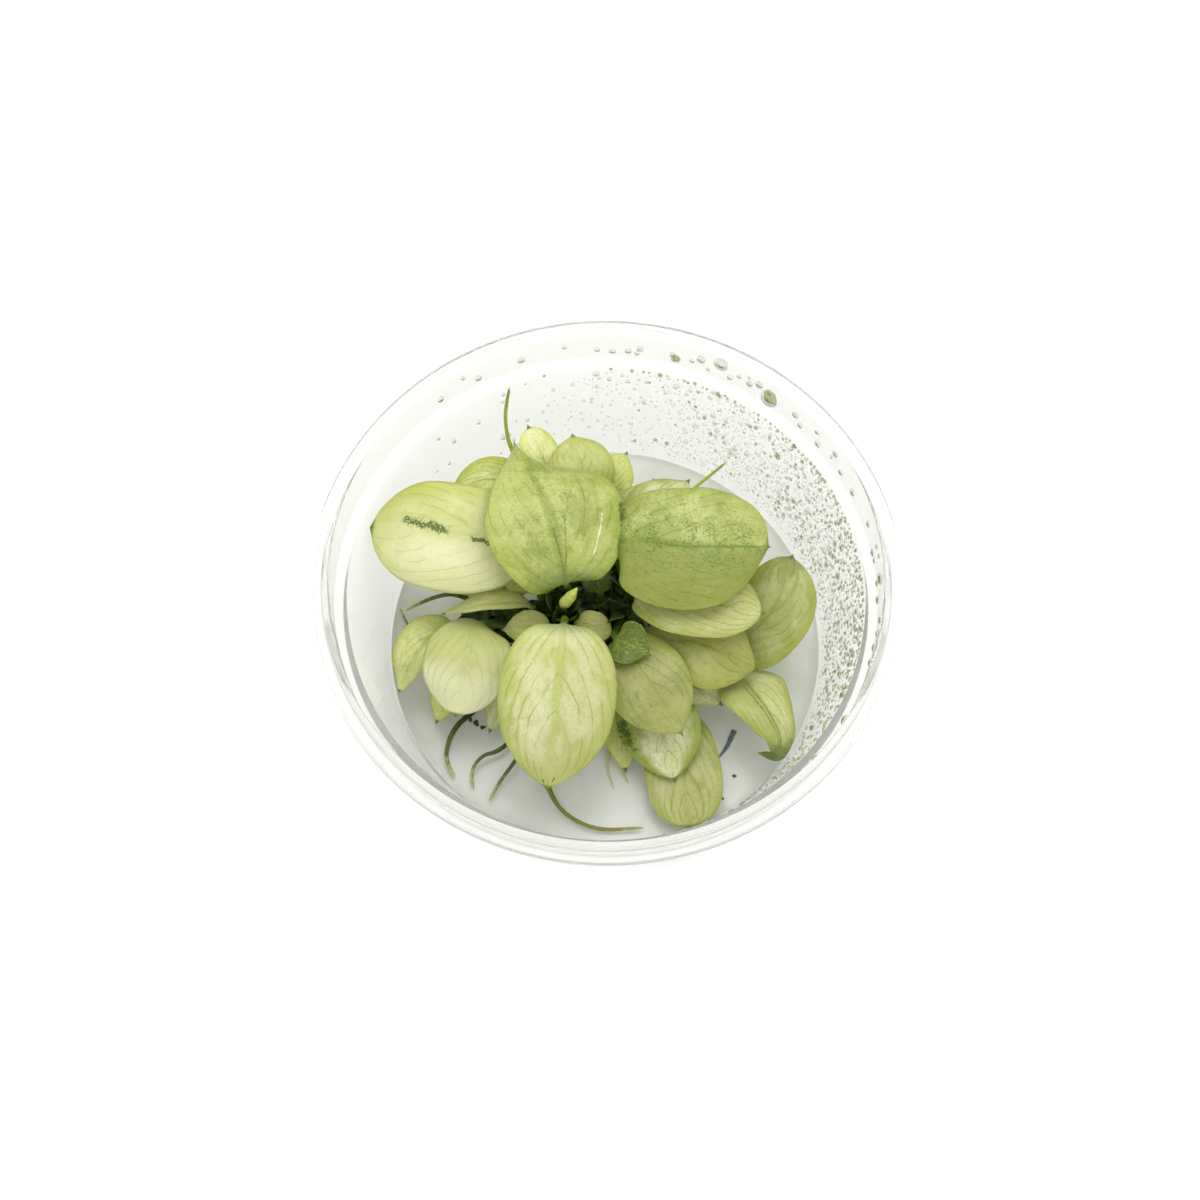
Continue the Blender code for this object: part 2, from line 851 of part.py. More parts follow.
def cup_profile():
    """The cup's section, from the inside of the floor over the rim to the underside."""
    corner = FLOOR + FLOOR_ROUND
    inside = [
        (0, FLOOR),
        *quarter((wall_radius(corner) - FLOOR_ROUND, corner), FLOOR_ROUND, -90, 4),
        (STEP_RADIUS, STEP_Z),
        (STEP_RADIUS + STEP_WIDTH, STEP_Z),
        (INNER_RADIUS, CUP_HEIGHT - 0.3),
        (INNER_RADIUS + 0.3, CUP_HEIGHT),
        (INNER_RADIUS + WALL, CUP_HEIGHT),
    ]
    flange_top = CUP_HEIGHT - LIP_RISE
    edge = FLANGE_DIAMETER / 2
    rim = [
        (INNER_RADIUS + WALL + 0.3, flange_top),
        (edge - 0.4, flange_top),
        (edge, flange_top - 0.4),
        (edge, flange_top - SKIRT_DEPTH),
        (edge - 0.8, flange_top - SKIRT_DEPTH),
        (edge - 1.0, flange_top - FLANGE_THICKNESS),
        (INNER_RADIUS + WALL, flange_top - FLANGE_THICKNESS),
    ]
    foot_edge = wall_radius(corner) - FLOOR_ROUND
    outside = [
        (STEP_RADIUS + STEP_WIDTH + WALL, STEP_Z - WALL),
        (STEP_RADIUS + WALL, STEP_Z - WALL - 0.8),
        (wall_radius(corner) + WALL, corner),
        (foot_edge + 1.6, FOOT_HEIGHT),
        (foot_edge, 0),
        (foot_edge - FOOT_WIDTH, 0),
        (foot_edge - FOOT_WIDTH - 0.4, FOOT_HEIGHT * 0.8),
        (0, FOOT_HEIGHT * 0.8),
    ]
    return inside + rim + outside


def gel_profile():
    """The gel's section: flat below, rounded as the floor's corner, with a meniscus at the wall."""
    bottom = FLOOR + GAP
    corner = FLOOR + FLOOR_ROUND
    shelf = wall_radius(GEL_TOP) - GAP
    return [
        (0, GEL_TOP),
        (shelf - MENISCUS_WIDTH, GEL_TOP),
        (shelf - MENISCUS_WIDTH * 0.4, GEL_TOP + MENISCUS_RISE * 0.3),
        (wall_radius(GEL_TOP + MENISCUS_RISE) - GAP, GEL_TOP + MENISCUS_RISE),
        *reversed(quarter((wall_radius(corner) - FLOOR_ROUND, corner), FLOOR_ROUND - GAP, -90, 4)),
        (0, bottom),
    ]


def main():
    """Build the cup, the gel and the plant."""
    clear_scene()
    collection = new_collection("tissue_culture_anubias")
    turned("cup", cup_profile(), collection, "cup", 0.05)
    turned("gel", gel_profile(), collection, "gel", 0.2)
    for stem in STEMS:
        make_stem(stem, collection)
    for leaf in LEAVES:
        make_leaf(leaf, collection)
    make_young_leaf(collection)
    for root in ROOTS:
        make_root(root, collection)


main()
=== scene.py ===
"""Looks of a tissue-cultured anubias in a clear cup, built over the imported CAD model.

Sizes are in millimetres and become metres where a mesh is made. The cup stands on the origin, +Z up,
and the camera looks down on it from -Y. The leaves, stems and roots repeat the CAD model's own values,
so each one lies where its solid lies.
"""

import logging
import math
from collections.abc import Iterable, Sequence
from dataclasses import dataclass, replace
from enum import Enum

import bpy
import numpy as np
from mathutils import Matrix, Vector


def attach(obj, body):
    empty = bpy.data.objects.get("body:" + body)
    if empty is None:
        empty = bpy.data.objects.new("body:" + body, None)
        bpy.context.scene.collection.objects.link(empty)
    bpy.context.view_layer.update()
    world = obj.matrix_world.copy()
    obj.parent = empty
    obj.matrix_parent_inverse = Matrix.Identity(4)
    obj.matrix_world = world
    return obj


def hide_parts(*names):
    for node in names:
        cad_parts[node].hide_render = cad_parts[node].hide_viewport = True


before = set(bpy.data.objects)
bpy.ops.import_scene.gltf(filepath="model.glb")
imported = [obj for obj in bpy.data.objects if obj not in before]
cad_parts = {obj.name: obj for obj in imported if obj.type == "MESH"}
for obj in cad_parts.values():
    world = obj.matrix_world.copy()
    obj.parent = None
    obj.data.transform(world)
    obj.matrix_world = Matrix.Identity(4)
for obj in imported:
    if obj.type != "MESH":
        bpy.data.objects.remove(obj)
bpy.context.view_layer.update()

logging.basicConfig(level=logging.INFO, format="%(message)s")
log = logging.getLogger("anubias")

MM = 0.001
Point = tuple[float, float, float]

# What fills a node's input, the patterns over a leaf by name, and a colour laid over another: where it
# shows, how strongly, and the colour
Input = bpy.types.NodeSocket | float | str | tuple[float, ...]
Masks = dict[str, bpy.types.NodeSocket]
Layer = tuple[bpy.types.NodeSocket, float, str]


class Slot(Enum):
    """The record's material slots."""

    CUP = "cup"
    GEL = "gel"
    STEM = "stem"
    PALE = "leaf_pale"
    MOTTLED = "leaf_mottled"
    GREEN = "leaf_green"
    DARK = "leaf_dark"
    YELLOW = "leaf_yellow"
    ROOT = "root"


# The cup, shared by what stands in it
FLANGE_DIAMETER = 105.0
FLANGE_WIDTH = 3.5
CUP_HEIGHT = 45.0
STEP_DEPTH = 7.7
STEP_WIDTH = 2.0
SEAT_DRAFT = 0.6
WALL_SLOPE = 0.2375
WALL = 1.0
FLOOR = 1.2
FLOOR_ROUND = 2.5
GAP = 0.3
GEL_DEPTH = 12.0

INNER_RADIUS = FLANGE_DIAMETER / 2 - FLANGE_WIDTH
STEP_Z = CUP_HEIGHT - STEP_DEPTH
STEP_RADIUS = INNER_RADIUS - SEAT_DRAFT - STEP_WIDTH
GEL_TOP = FLOOR + GAP + GEL_DEPTH

# How turned pieces are made: the ring that closes them at the middle, the share of a side that the
# rounding of a corner may take, and the angle from which an edge stays sharp
HUB_RADIUS = 0.5
ROUNDING_ROOM = 0.48
SHARP_ANGLE = math.radians(35)

# The plant
BLADE_HALF_THICKNESS = 0.2
STALK_RADIUS = 0.65
STALK_FOOT_RADIUS = 0.85
COLLAR = 1.6
ROOT_RADIUS = 0.55
SCAR_SPACING = 1.9
STEM_ROWS = 8
ROOT_ROWS = 5

# How tubes are made: points between two given ones, and how close points are one, in metres
CURVE_STEPS = 40
SAME_PLACE = 1e-7


def wall_radius(z: float) -> float:
    """Inner radius of the cup's tapered wall at height z."""
    return STEP_RADIUS - (STEP_Z - z) * WALL_SLOPE


@dataclass(frozen=True)
class Stem:
    """A thick green stem: the points and radii along it."""

    name: str
    points: tuple[Point, ...]
    radii: tuple[float, ...]

    def girths(self, count: int) -> np.ndarray:
        """The radius at count even places from end to end."""
        marks = np.arange(len(self.radii))
        return np.interp(np.linspace(0, marks[-1], count), marks, self.radii)


@dataclass(frozen=True)
class Foot:
    """Where a stalk or a root leaves its stem: the share of the stem's length, and the way out."""

    stem: str
    along: float
    out: Point


@dataclass(frozen=True)
class Leaf:
    """A leaf grown as one with its stalk.

    stalk holds the stalk's points between its collar and the blade. blade holds the midrib's base, its
    middle points and its tip. face is the way the upper side looks at the middle. cup raises the margins
    and fold creases the midrib, both as shares of the half width, and lobe is how far the base reaches
    back beside the stalk. Towards the tip, skew makes the side right of the midrib wider, and slant
    moves that side forwards and the other one back. A point of 1 tapers straight to the tip and more is
    rounder, and blunt under 1 rounds the very tip.
    """

    name: str
    foot: Foot
    stalk: tuple[Point, ...]
    blade: tuple[Point, ...]
    face: Point
    width: float
    widest: float = 0.42
    point: float = 1.9
    blunt: float = 1.0
    cup: float = 0.12
    fold: float = 0.05
    lobe: float = 0.8
    skew: float = 0.0
    slant: float = 0.0
    colour: Slot = Slot.PALE


@dataclass(frozen=True)
class Root:
    """A root: where it leaves its stem, and the points it runs through."""

    name: str
    foot: Foot
    points: tuple[Point, ...]
    girth: float = 1.0


STEMS = (
    Stem(
        "rhizome",
        ((-17, -2.5, 17.2), (-8, -0.5, 17.6), (2, 0.5, 17.8), (12, -2, 17.5)),
        (2.2, 3.1, 3.1, 2.2),
    ),
    Stem("shoot_left", ((-8, -0.3, 21.3), (-8, 0, 25), (-7.8, 0.3, 28.2)), (2.3, 2.2, 1.5)),
    Stem("shoot_right", ((3, 0.8, 21.5), (3.2, 2.2, 25), (3.5, 4, 28)), (2.2, 2.1, 1.5)),
    Stem("shoot_back", ((-3, 4.1, 18.3), (-4, 11, 20), (-5, 17, 23.5)), (2.1, 2.1, 1.6)),
    Stem("shoot_front", ((6.3, -4.3, 17.3), (7, -6.7, 17.8), (8, -9, 18.6)), (1.9, 1.9, 1.4)),
    Stem(
        "shoot_far_left",
        ((-11.8, 0.1, 20.2), (-12.6, 1.2, 21.6), (-17.5, 2.4, 22.6), (-22.5, 2.4, 22)),
        (1.2, 1.3, 1.5, 1.1),
    ),
)

LEAVES = (
    Leaf(
        "leaf_front",
        Foot("shoot_left", 0.75, (0.1, -1, 0.2)),
        ((-7.4, -4, 32), (-7.4, -5.2, 36)),
        ((-7.5, -6.8, 37), (-8.5, -20, 35), (-10, -33.7, 27)),
        (0, -0.2, 1),
        21,
        point=2.5,
        blunt=0.8,
        cup=-0.1,
        lobe=1.5,
    ),
    Leaf(
        "leaf_back",
        Foot("shoot_left", 0.85, (0.5, 1, 0.3)),
        ((-6.8, 3.2, 31),),
        (
            (-7.4, 2.5, 35.5),
            (-8.8, 8.4, 38.5),
            (-10.9, 15.3, 40),
            (-13.8, 21.7, 39.5),
            (-17.2, 29.7, 37.5),
        ),
        (0.1, -0.1, 1),
        26,
        widest=0.4,
        point=1.4,
        cup=0.04,
        fold=0.1,
        lobe=2.5,
        skew=0.3,
        slant=-0.45,
        colour=Slot.MOTTLED,
    ),
    Leaf(
        "leaf_left",
        Foot("shoot_left", 0.7, (-0.5, 1, 0.3)),
        ((-10.5, 6, 30),),
        ((-13, 9, 32.5), (-28.5, 10.8, 37), (-43, 13, 35.4)),
        (0.1, -0.2, 1),
        20.5,
        widest=0.5,
        point=3,
        blunt=0.6,
        cup=-0.12,
        lobe=1.0,
    ),
    Leaf(
        "leaf_right",
        Foot("shoot_right", 0.9, (0, 1, 0.3)),
        ((2.4, 7.5, 32),),
        ((1.8, 9.2, 36), (15, 7.7, 40), (29, 8.8, 38)),
        (0, -0.15, 1),
        23,
        widest=0.45,
        point=3,
        blunt=0.6,
        cup=-0.12,
        lobe=2.0,
        slant=-0.3,
        colour=Slot.MOTTLED,
    ),
    Leaf(
        "leaf_right_second",
        Foot("shoot_right", 0.8, (1, 0.4, 0.2)),
        (),
        ((6, 3.6, 30), (15.5, 0.2, 34), (28.3, -2, 33)),
        (0, -0.1, 1),
        15,
        point=2.6,
        blunt=0.7,
        lobe=0.5,
    ),
    Leaf(
        "leaf_right_third",
        Foot("shoot_right", 0.7, (0.7, -0.8, 0.2)),
        (),
        ((7.3, -3, 27), (17.2, -6.6, 29.8), (27.4, -10.4, 27)),
        (0.1, -0.2, 1),
        15,
        widest=0.55,
        point=2.4,
        cup=-0.1,
        lobe=0,
        skew=0.15,
    ),
    Leaf(
        "leaf_right_wall",
        Foot("rhizome", 0.93, (0.3, 0.5, 1)),
        ((16, -1.5, 20.5),),
        ((21, -3.5, 22), (29.5, -0.5, 28), (34, 9.4, 32.5)),
        (-0.3, -0.2, 1),
        16,
        point=2.6,
        blunt=0.6,
        cup=-0.1,
        colour=Slot.GREEN,
    ),
    Leaf(
        "leaf_hooked",
        Foot("rhizome", 0.98, (0, -1, -0.1)),
        ((18, -6.5, 17.6),),
        (
            (23.5, -8.6, 20),
            (27, -13.6, 23.6),
            (30.2, -18.9, 24.6),
            (31.8, -22.7, 23.6),
            (31.2, -25.4, 22),
            (28.6, -24.7, 21),
        ),
        (0.3, -0.1, 1),
        12.5,
        widest=0.36,
        point=1.1,
        cup=-0.2,
        fold=0.3,
        lobe=0,
        colour=Slot.GREEN,
    ),
    Leaf(
        "leaf_round",
        Foot("rhizome", 0.1, (-0.3, 0.1, 1)),
        ((-19, -1.2, 24),),
        ((-22.8, -2.6, 27.5), (-25.2, -11, 29.5), (-27, -18.9, 24)),
        (-0.1, -0.3, 1),
        16,
        point=2.6,
        blunt=0.6,
        cup=-0.15,
        lobe=1.0,
    ),
    Leaf(
        "leaf_far_left",
        Foot("rhizome", 0.02, (0, 0.6, 0.8)),
        ((-23, 0, 20.5),),
        ((-28.2, -0.4, 21.8), (-34.3, -6.5, 23.6), (-38, -12.5, 19)),
        (-0.6, -0.3, 1),
        9,
        fold=0.35,
        lobe=0,
        colour=Slot.GREEN,
    ),
    Leaf(
        "leaf_left_narrow",
        Foot("shoot_left", 0.45, (-1, -0.2, 0.1)),
        (),
        ((-13.5, 0.5, 28), (-21, -0.3, 31), (-29.5, -0.8, 28)),
        (0, 0.5, 0.87),
        6,
        fold=0.25,
        lobe=0,
        colour=Slot.GREEN,
    ),
    Leaf(
        "leaf_left_second",
        Foot("shoot_left", 0.3, (-0.7, 0.7, 0)),
        (),
        ((-13, 6.5, 25.5), (-19, 6.5, 28), (-28.5, 4.5, 27)),
        (0, -0.2, 1),
        8,
        lobe=0,
    ),
    Leaf(
        "leaf_left_small",
        Foot("shoot_left", 0.55, (-0.8, 0.4, 0)),
        (),
        ((-12, 4, 27.5), (-15, 5, 29.3), (-18.5, 4, 29.3)),
        (0, -0.2, 1),
        4,
        fold=0.3,
        lobe=0,
        colour=Slot.GREEN,
    ),
    Leaf(
        "leaf_crown_left",
        Foot("shoot_left", 0.5, (-0.5, -0.8, 0.1)),
        (),
        ((-10.3, -3.8, 28.5), (-14, -4.3, 30.5), (-18.5, -3.8, 28)),
        (0, -0.2, 1),
        6,
        lobe=0,
        colour=Slot.GREEN,
    ),
    Leaf(
        "leaf_crown_right",
        Foot("shoot_left", 0.6, (0.8, -0.6, 0.1)),
        (),
        ((-5.2, -3, 29.5), (-2.5, -4.2, 31), (1, -5, 29.5)),
        (0, -0.2, 1),
        5.5,
        blunt=0.6,
        lobe=0.3,
        colour=Slot.GREEN,
    ),
    Leaf(
        "leaf_small_dark",
        Foot("shoot_right", 0.5, (-0.2, -1, 0)),
        (),
        ((2, -6.6, 31), (4, -8.2, 32.9), (7.7, -10, 32.2)),
        (0, -0.3, 1),
        8,
        lobe=0.3,
        colour=Slot.DARK,
    ),
    Leaf(
        "leaf_front_right",
        Foot("rhizome", 0.72, (0, -0.8, 0.7)),
        (),
        ((2, -5.5, 27.3), (6.8, -13.6, 30.8), (13.7, -23.4, 28)),
        (0.1, -0.3, 1),
        15.4,
        widest=0.5,
        point=2.3,
        blunt=0.85,
        cup=-0.1,
        lobe=0.5,
    ),
    Leaf(
        "leaf_front_right_second",
        Foot("shoot_front", 0.4, (-0.8, 0, 1)),
        (),
        ((6.5, -11.5, 20), (10.3, -20.5, 22), (12.8, -29, 19)),
        (0, -0.3, 1),
        15,
        point=2.3,
        blunt=0.8,
        cup=-0.12,
        lobe=0.3,
        colour=Slot.GREEN,
    ),
    Leaf(
        "leaf_front_low",
        Foot("shoot_front", 0.9, (0.6, -1, 0)),
        (),
        ((11.5, -14, 16.5), (14.3, -26, 17.3), (15.6, -37, 15.6)),
        (0, -0.1, 1),
        14,
        widest=0.55,
        point=3.5,
        blunt=0.55,
        cup=0.05,
        fold=0.12,
        lobe=0,
    ),
    Leaf(
        "leaf_right_low",
        Foot("shoot_front", 0.6, (1, 0.1, 0.6)),
        (),
        ((12, -8, 21.5), (16.5, -12, 23), (21.2, -15.2, 21.4)),
        (0, -0.3, 1),
        8,
        lobe=0,
    ),
    Leaf(
        "leaf_front_yellow",
        Foot("rhizome", 0.55, (0, -1, 0)),
        (),
        ((1, -8.5, 17), (3, -17.5, 18), (4, -26, 15.4)),
        (0, -0.2, 1),
        9.5,
        cup=0,
        lobe=0,
        colour=Slot.YELLOW,
    ),
    Leaf(
        "leaf_left_low",
        Foot("rhizome", 0.03, (-0.7, -0.8, 0.4)),
        (),
        ((-22, -7, 19), (-28, -11.5, 20), (-31, -17.5, 16.5)),
        (0, -0.2, 1),
        8,
        lobe=0,
        colour=Slot.YELLOW,
    ),
    Leaf(
        "leaf_left_low_second",
        Foot("rhizome", 0.17, (-0.1, -1, 0.4)),
        (),
        ((-15.5, -7.5, 18.5), (-18.5, -13.5, 19.5), (-21, -19.5, 17.5)),
        (0, -0.2, 1),
        7,
        lobe=0,
    ),
    Leaf(
        "leaf_rear_bright",
        Foot("shoot_back", 0.97, (-0.5, 0.7, 0.5)),
        (),
        ((-9.2, 24, 27.5), (-12.2, 29.6, 31.4), (-14.9, 35.4, 33)),
        (0.1, -0.4, 1),
        7,
        widest=0.55,
        point=2.6,
        blunt=0.6,
        lobe=0,
        colour=Slot.YELLOW,
    ),
    Leaf(
        "leaf_rear_left",
        Foot("shoot_back", 0.8, (-1, 0.2, 0.5)),
        (),
        ((-14, 23, 28), (-22.5, 25, 31.5), (-29.5, 22.5, 30)),
        (0.1, -0.3, 1),
        9,
        lobe=0,
        colour=Slot.GREEN,
    ),
    Leaf(
        "leaf_rear_middle",
        Foot("shoot_back", 0.85, (0.1, -0.4, 1)),
        (),
        ((-4.2, 21.5, 29.5), (-5, 27, 32.5), (-6.6, 34, 32.5)),
        (0.1, -0.4, 1),
        12.5,
        blunt=0.75,
        lobe=0,
        colour=Slot.GREEN,
    ),
    Leaf(
        "leaf_rear_yellow",
        Foot("shoot_back", 0.9, (1, 0.5, 0.4)),
        (),
        ((-0.5, 23.5, 26), (1.5, 28.5, 29), (3.5, 32.5, 28.5)),
        (0, -0.4, 1),
        8,
        lobe=0,
        colour=Slot.YELLOW,
    ),
    Leaf(
        "leaf_rear_right",
        Foot("shoot_back", 0.7, (1, 0.1, 0.2)),
        (),
        ((3, 17.5, 25), (6, 21.5, 28), (8.5, 26.5, 29)),
        (-0.1, -0.4, 1),
        9,
        lobe=0,
    ),
    Leaf(
        "leaf_rear_right_high",
        Foot("shoot_back", 0.45, (1, 0, 0.5)),
        ((3, 12, 25.5),),
        ((6, 13.5, 28.5), (9.5, 18.5, 31.5), (15, 25, 32)),
        (-0.1, -0.3, 1),
        13,
        lobe=0,
    ),
    Leaf(
        "leaf_yellow_folded",
        Foot("shoot_back", 0.5, (0.2, -0.2, 1)),
        ((-2.5, 11.5, 27),),
        ((-1, 12, 30.5), (1.2, 14.5, 33.5), (4.5, 19, 34.2)),
        (-0.3, -0.4, 1),
        7,
        fold=0.3,
        lobe=0,
        colour=Slot.YELLOW,
    ),
    # A dark leaf low in the crown that fills its deep shade: painted shade.
    Leaf(
        "leaf_inner_low",
        Foot("rhizome", 0.62, (0, 1, 0.4)),
        (),
        ((4.5, 6.3, 20.5), (8.5, 8, 22), (14, 9.5, 21.5)),
        (-0.1, -0.4, 1),
        9,
        lobe=0,
        colour=Slot.DARK,
    ),
    # A leaf in the crown's shade, coloured dark: painted shade.
    Leaf(
        "leaf_inner_dark",
        Foot("shoot_right", 0.55, (-0.9, 0.4, 0)),
        (),
        ((-1, 4.5, 26.5), (-1.6, 7.5, 29.3), (-1, 10.3, 30.2)),
        (-0.1, -0.6, 1),
        6,
        lobe=0,
        colour=Slot.DARK,
    ),
)

YOUNG_LEAF = Stem(
    "young_leaf",
    ((-7.7, 0.4, 29.2), (-7.5, 0.2, 31), (-6.3, 0.6, 33.5), (-5.3, 1.2, 35.6)),
    (0.7, 1.2, 1.1, 0.2),
)

ROOTS = (
    Root(
        "root_rising",
        Foot("shoot_back", 0.75, (-1, 0.3, -0.2)),
        ((-13, 26, 24), (-18.5, 34, 28.5), (-19.3, 37, 35), (-18.4, 39.5, 41)),
    ),
    Root(
        "root_back_right",
        Foot("shoot_back", 0.4, (1, 0, -0.3)),
        ((6, 18, 21), (15.5, 26, 25.5), (22.5, 31, 28.5)),
        girth=0.9,
    ),
    Root(
        "root_left",
        Foot("rhizome", 0.2, (0, 1, 0.1)),
        ((-22, 4, 20), (-29, 6, 21.5), (-34, 5.5, 19.5), (-38, 4.5, 17)),
    ),
    Root(
        "root_left_low",
        Foot("rhizome", 0.06, (0, 1, -0.6)),
        ((-26, 0.5, 14.4), (-36, 0.8, 14.3), (-38.3, 4, 14.4), (-39.3, 6, 14.9)),
        girth=0.8,
    ),
    Root(
        "root_front_left",
        Foot("rhizome", 0.06, (0, -1, -0.5)),
        ((-20, -9, 15), (-24, -14.5, 15.3), (-28, -19.5, 16), (-29, -24.5, 15), (-27.3, -28, 14.7)),
        girth=1.2,
    ),
    Root(
        "root_front_short",
        Foot("rhizome", 0.25, (0, -1, -0.5)),
        ((-15, -15, 15), (-19, -22.5, 15.5), (-23, -24.5, 15.5), (-24.3, -27.5, 15), (-23.8, -30, 14.6)),
    ),
    Root(
        "root_front_middle",
        Foot("rhizome", 0.3, (0, -1, -0.3)),
        ((-12, -16, 14.8), (-16.5, -25, 15.5), (-19.5, -29.5, 15), (-21, -32.5, 14.7)),
    ),
    Root(
        "root_front_long",
        Foot("rhizome", 0.47, (0, -1, -0.2)),
        (
            (-6.5, -9, 15.5),
            (-8.5, -18, 14.8),
            (-10, -30, 15.5),
            (-7.5, -34, 15),
            (-2, -37, 14.6),
            (7.5, -37, 14.6),
        ),
    ),
)


def linear(colour: str) -> tuple[float, float, float, float]:
    """Turns an sRGB hex colour to a linear one.

    Args:
        colour: the colour as "#rrggbb".

    Returns:
        Red, green, blue and alpha, linear.
    """
    parts = [int(colour[i : i + 2], 16) / 255 for i in (1, 3, 5)]
    dark = [part / 12.92 for part in parts]
    light = [((part + 0.055) / 1.055) ** 2.4 for part in parts]
    red, green, blue = (low if part <= 0.04045 else high for part, low, high in zip(parts, dark, light))
    return red, green, blue, 1.0


def per_mm(size: float) -> float:
    """The scale of a pattern on Object coordinates whose features are size millimetres apart."""
    return 1 / (size * MM)


class Node(Enum):
    """A kind of shader node: its type, the output that is used, its inputs in order, and its settings."""

    PLACE = ("TexCoord", "Object")
    MAP = ("UVMap", "UV")
    X = ("SeparateXYZ", "X", ("Vector",))
    Y = ("SeparateXYZ", "Y", ("Vector",))
    MOVED = ("VectorMath", 0, (0, 1), {"operation": "ADD"})
    STRETCHED = ("Mapping", 0, ("Vector", "Scale"))
    NOISE = ("TexNoise", 0, ("Vector", "Scale", "Detail", "Roughness", "Distortion"))
    CELLS = ("TexVoronoi", 0, ("Vector", "Scale"), {"feature": "DISTANCE_TO_EDGE"})
    STEP = ("MapRange", 0, ("Value", "From Min", "From Max"), {"interpolation_type": "SMOOTHSTEP"})
    RANGE = ("MapRange", 0, ("Value", "To Min", "To Max"))
    BLEND = ("Mix", 2, (0, 6, 7), {"data_type": "RGBA"})
    BUMP = ("Bump", 0, ("Height", "Distance"))
    ABSOLUTE = ("Math", 0, (0,), {"operation": "ABSOLUTE"})
    SUBTRACT = ("Math", 0, (0, 1), {"operation": "SUBTRACT"})
    MULTIPLY = ("Math", 0, (0, 1), {"operation": "MULTIPLY"})
    MULTIPLY_ADD = ("Math", 0, (0, 1, 2), {"operation": "MULTIPLY_ADD"})
    POWER = ("Math", 0, (0, 1), {"operation": "POWER"})
    PINGPONG = ("Math", 0, (0, 1), {"operation": "PINGPONG"})
    MAXIMUM = ("Math", 0, (0, 1), {"operation": "MAXIMUM"})
    CAMERA_RAY = ("LightPath", "Is Camera Ray")
    GLOSSY_RAY = ("LightPath", "Is Glossy Ray")
    TRANSMISSION_RAY = ("LightPath", "Is Transmission Ray")
    SHADOW_RAY = ("LightPath", "Is Shadow Ray")
    CLEAR = ("BsdfTransparent", 0, ("Color",))
    EITHER = ("MixShader", 0, (0, 1, 2))

    def __init__(
        self,
        kind: str,
        out: int | str,
        inputs: tuple[int | str, ...] = (),
        settings: dict[str, str] | None = None,
    ) -> None:
        """Keeps the parts of the value by name."""
        self.kind = kind
        self.out = out
        self.inputs = inputs
        self.settings = settings or {}


class Nodes:
    """A node tree while it is being put together."""

    def __init__(self, tree: bpy.types.NodeTree) -> None:
        """Starts from a tree."""
        self.tree = tree

    def fill(self, socket: bpy.types.NodeSocket, value: Input) -> None:
        """Links an input to another node's output, or gives it a value or a hex colour."""
        if isinstance(value, bpy.types.NodeSocket):
            self.tree.links.new(value, socket)
        else:
            socket.default_value = linear(value) if isinstance(value, str) else value

    def add(self, node: Node, *inputs: Input, **settings: str) -> bpy.types.NodeSocket:
        """Adds a node with its settings and links.

        Args:
            node: the kind of node.
            *inputs: what fills each of its inputs, in order.
            **settings: the node's own properties, beside those of its kind.

        Returns:
            The node's output socket.
        """
        made = self.tree.nodes.new("ShaderNode" + node.kind)
        for key, value in {**node.settings, **settings}.items():
            setattr(made, key, value)
        for key, value in zip(node.inputs, inputs):
            self.fill(made.inputs[key], value)
        return made.outputs[node.out]

    def layered(self, colour: Input, layers: Iterable[Layer]) -> Input:
        """Lays colours over one another.

        Args:
            colour: the first one.
            layers: for each of the others, where it shows, how strongly, and the colour.

        Returns:
            The last node's output socket.
        """
        for shown, strength, paint in layers:
            share = self.add(Node.MULTIPLY, shown, strength)
            colour = self.add(Node.BLEND, share, colour, paint)
        return colour

    def seen(self) -> bpy.types.NodeSocket:
        """1 where the eye sees the surface, also in gloss or through glass, and else 0."""
        mirrored = self.add(Node.MAXIMUM, self.add(Node.GLOSSY_RAY), self.add(Node.TRANSMISSION_RAY))
        return self.add(Node.MAXIMUM, self.add(Node.CAMERA_RAY), mirrored)


class Recipe(Nodes):
    """A material's node tree, round its Principled shader."""

    def __init__(self, name: str, roughness: float, ior: float) -> None:
        """Starts the material."""
        self.material = bpy.data.materials.new(name)
        self.material.use_nodes = True
        super().__init__(self.material.node_tree)
        self.shader = self.tree.nodes["Principled BSDF"]
        self.dress({"Roughness": roughness, "IOR": ior})

    def dress(self, inputs: dict[str, Input]) -> None:
        """Fills the shader's own inputs, by name."""
        for name, value in inputs.items():
            self.fill(self.shader.inputs[name], value)

    def let_light_in(self, colour: str) -> None:
        """Lets lamps shine through a clear surface, by a Transparent shader for shadow rays.

        Args:
            colour: what the surface leaves of the light.
        """
        surface = self.tree.nodes["Material Output"].inputs["Surface"]
        clear = self.add(Node.CLEAR, colour)
        self.fill(surface, self.add(Node.EITHER, self.add(Node.SHADOW_RAY), self.shader.outputs[0], clear))


@dataclass(frozen=True)
class ClearPlastic:
    """Thermoformed PET, polished by the mould: clear with a trace of haze, and faint flow ripples.

    The IOR is matched to the photograph's pale edges, and lies well under PET's own 1.57.
    """

    name: str = "thermoformed_pet"
    colour: str = "#eff0ec"
    passing: str = "#fdfefd"
    clearness: float = 0.82
    roughness: float = 0.05
    ior: float = 1.14
    ripple_size: float = 9.0
    ripple_depth: float = 0.03

    def material(self) -> bpy.types.Material:
        """Makes the material."""
        recipe = Recipe(self.name, self.roughness, self.ior)
        ripple = recipe.add(Node.NOISE, recipe.add(Node.PLACE), per_mm(self.ripple_size))
        recipe.dress(
            {
                "Base Color": self.colour,
                "Transmission Weight": self.clearness,
                "Normal": recipe.add(Node.BUMP, ripple, self.ripple_depth * MM),
            }
        )
        recipe.let_light_in(self.passing)
        return recipe.material


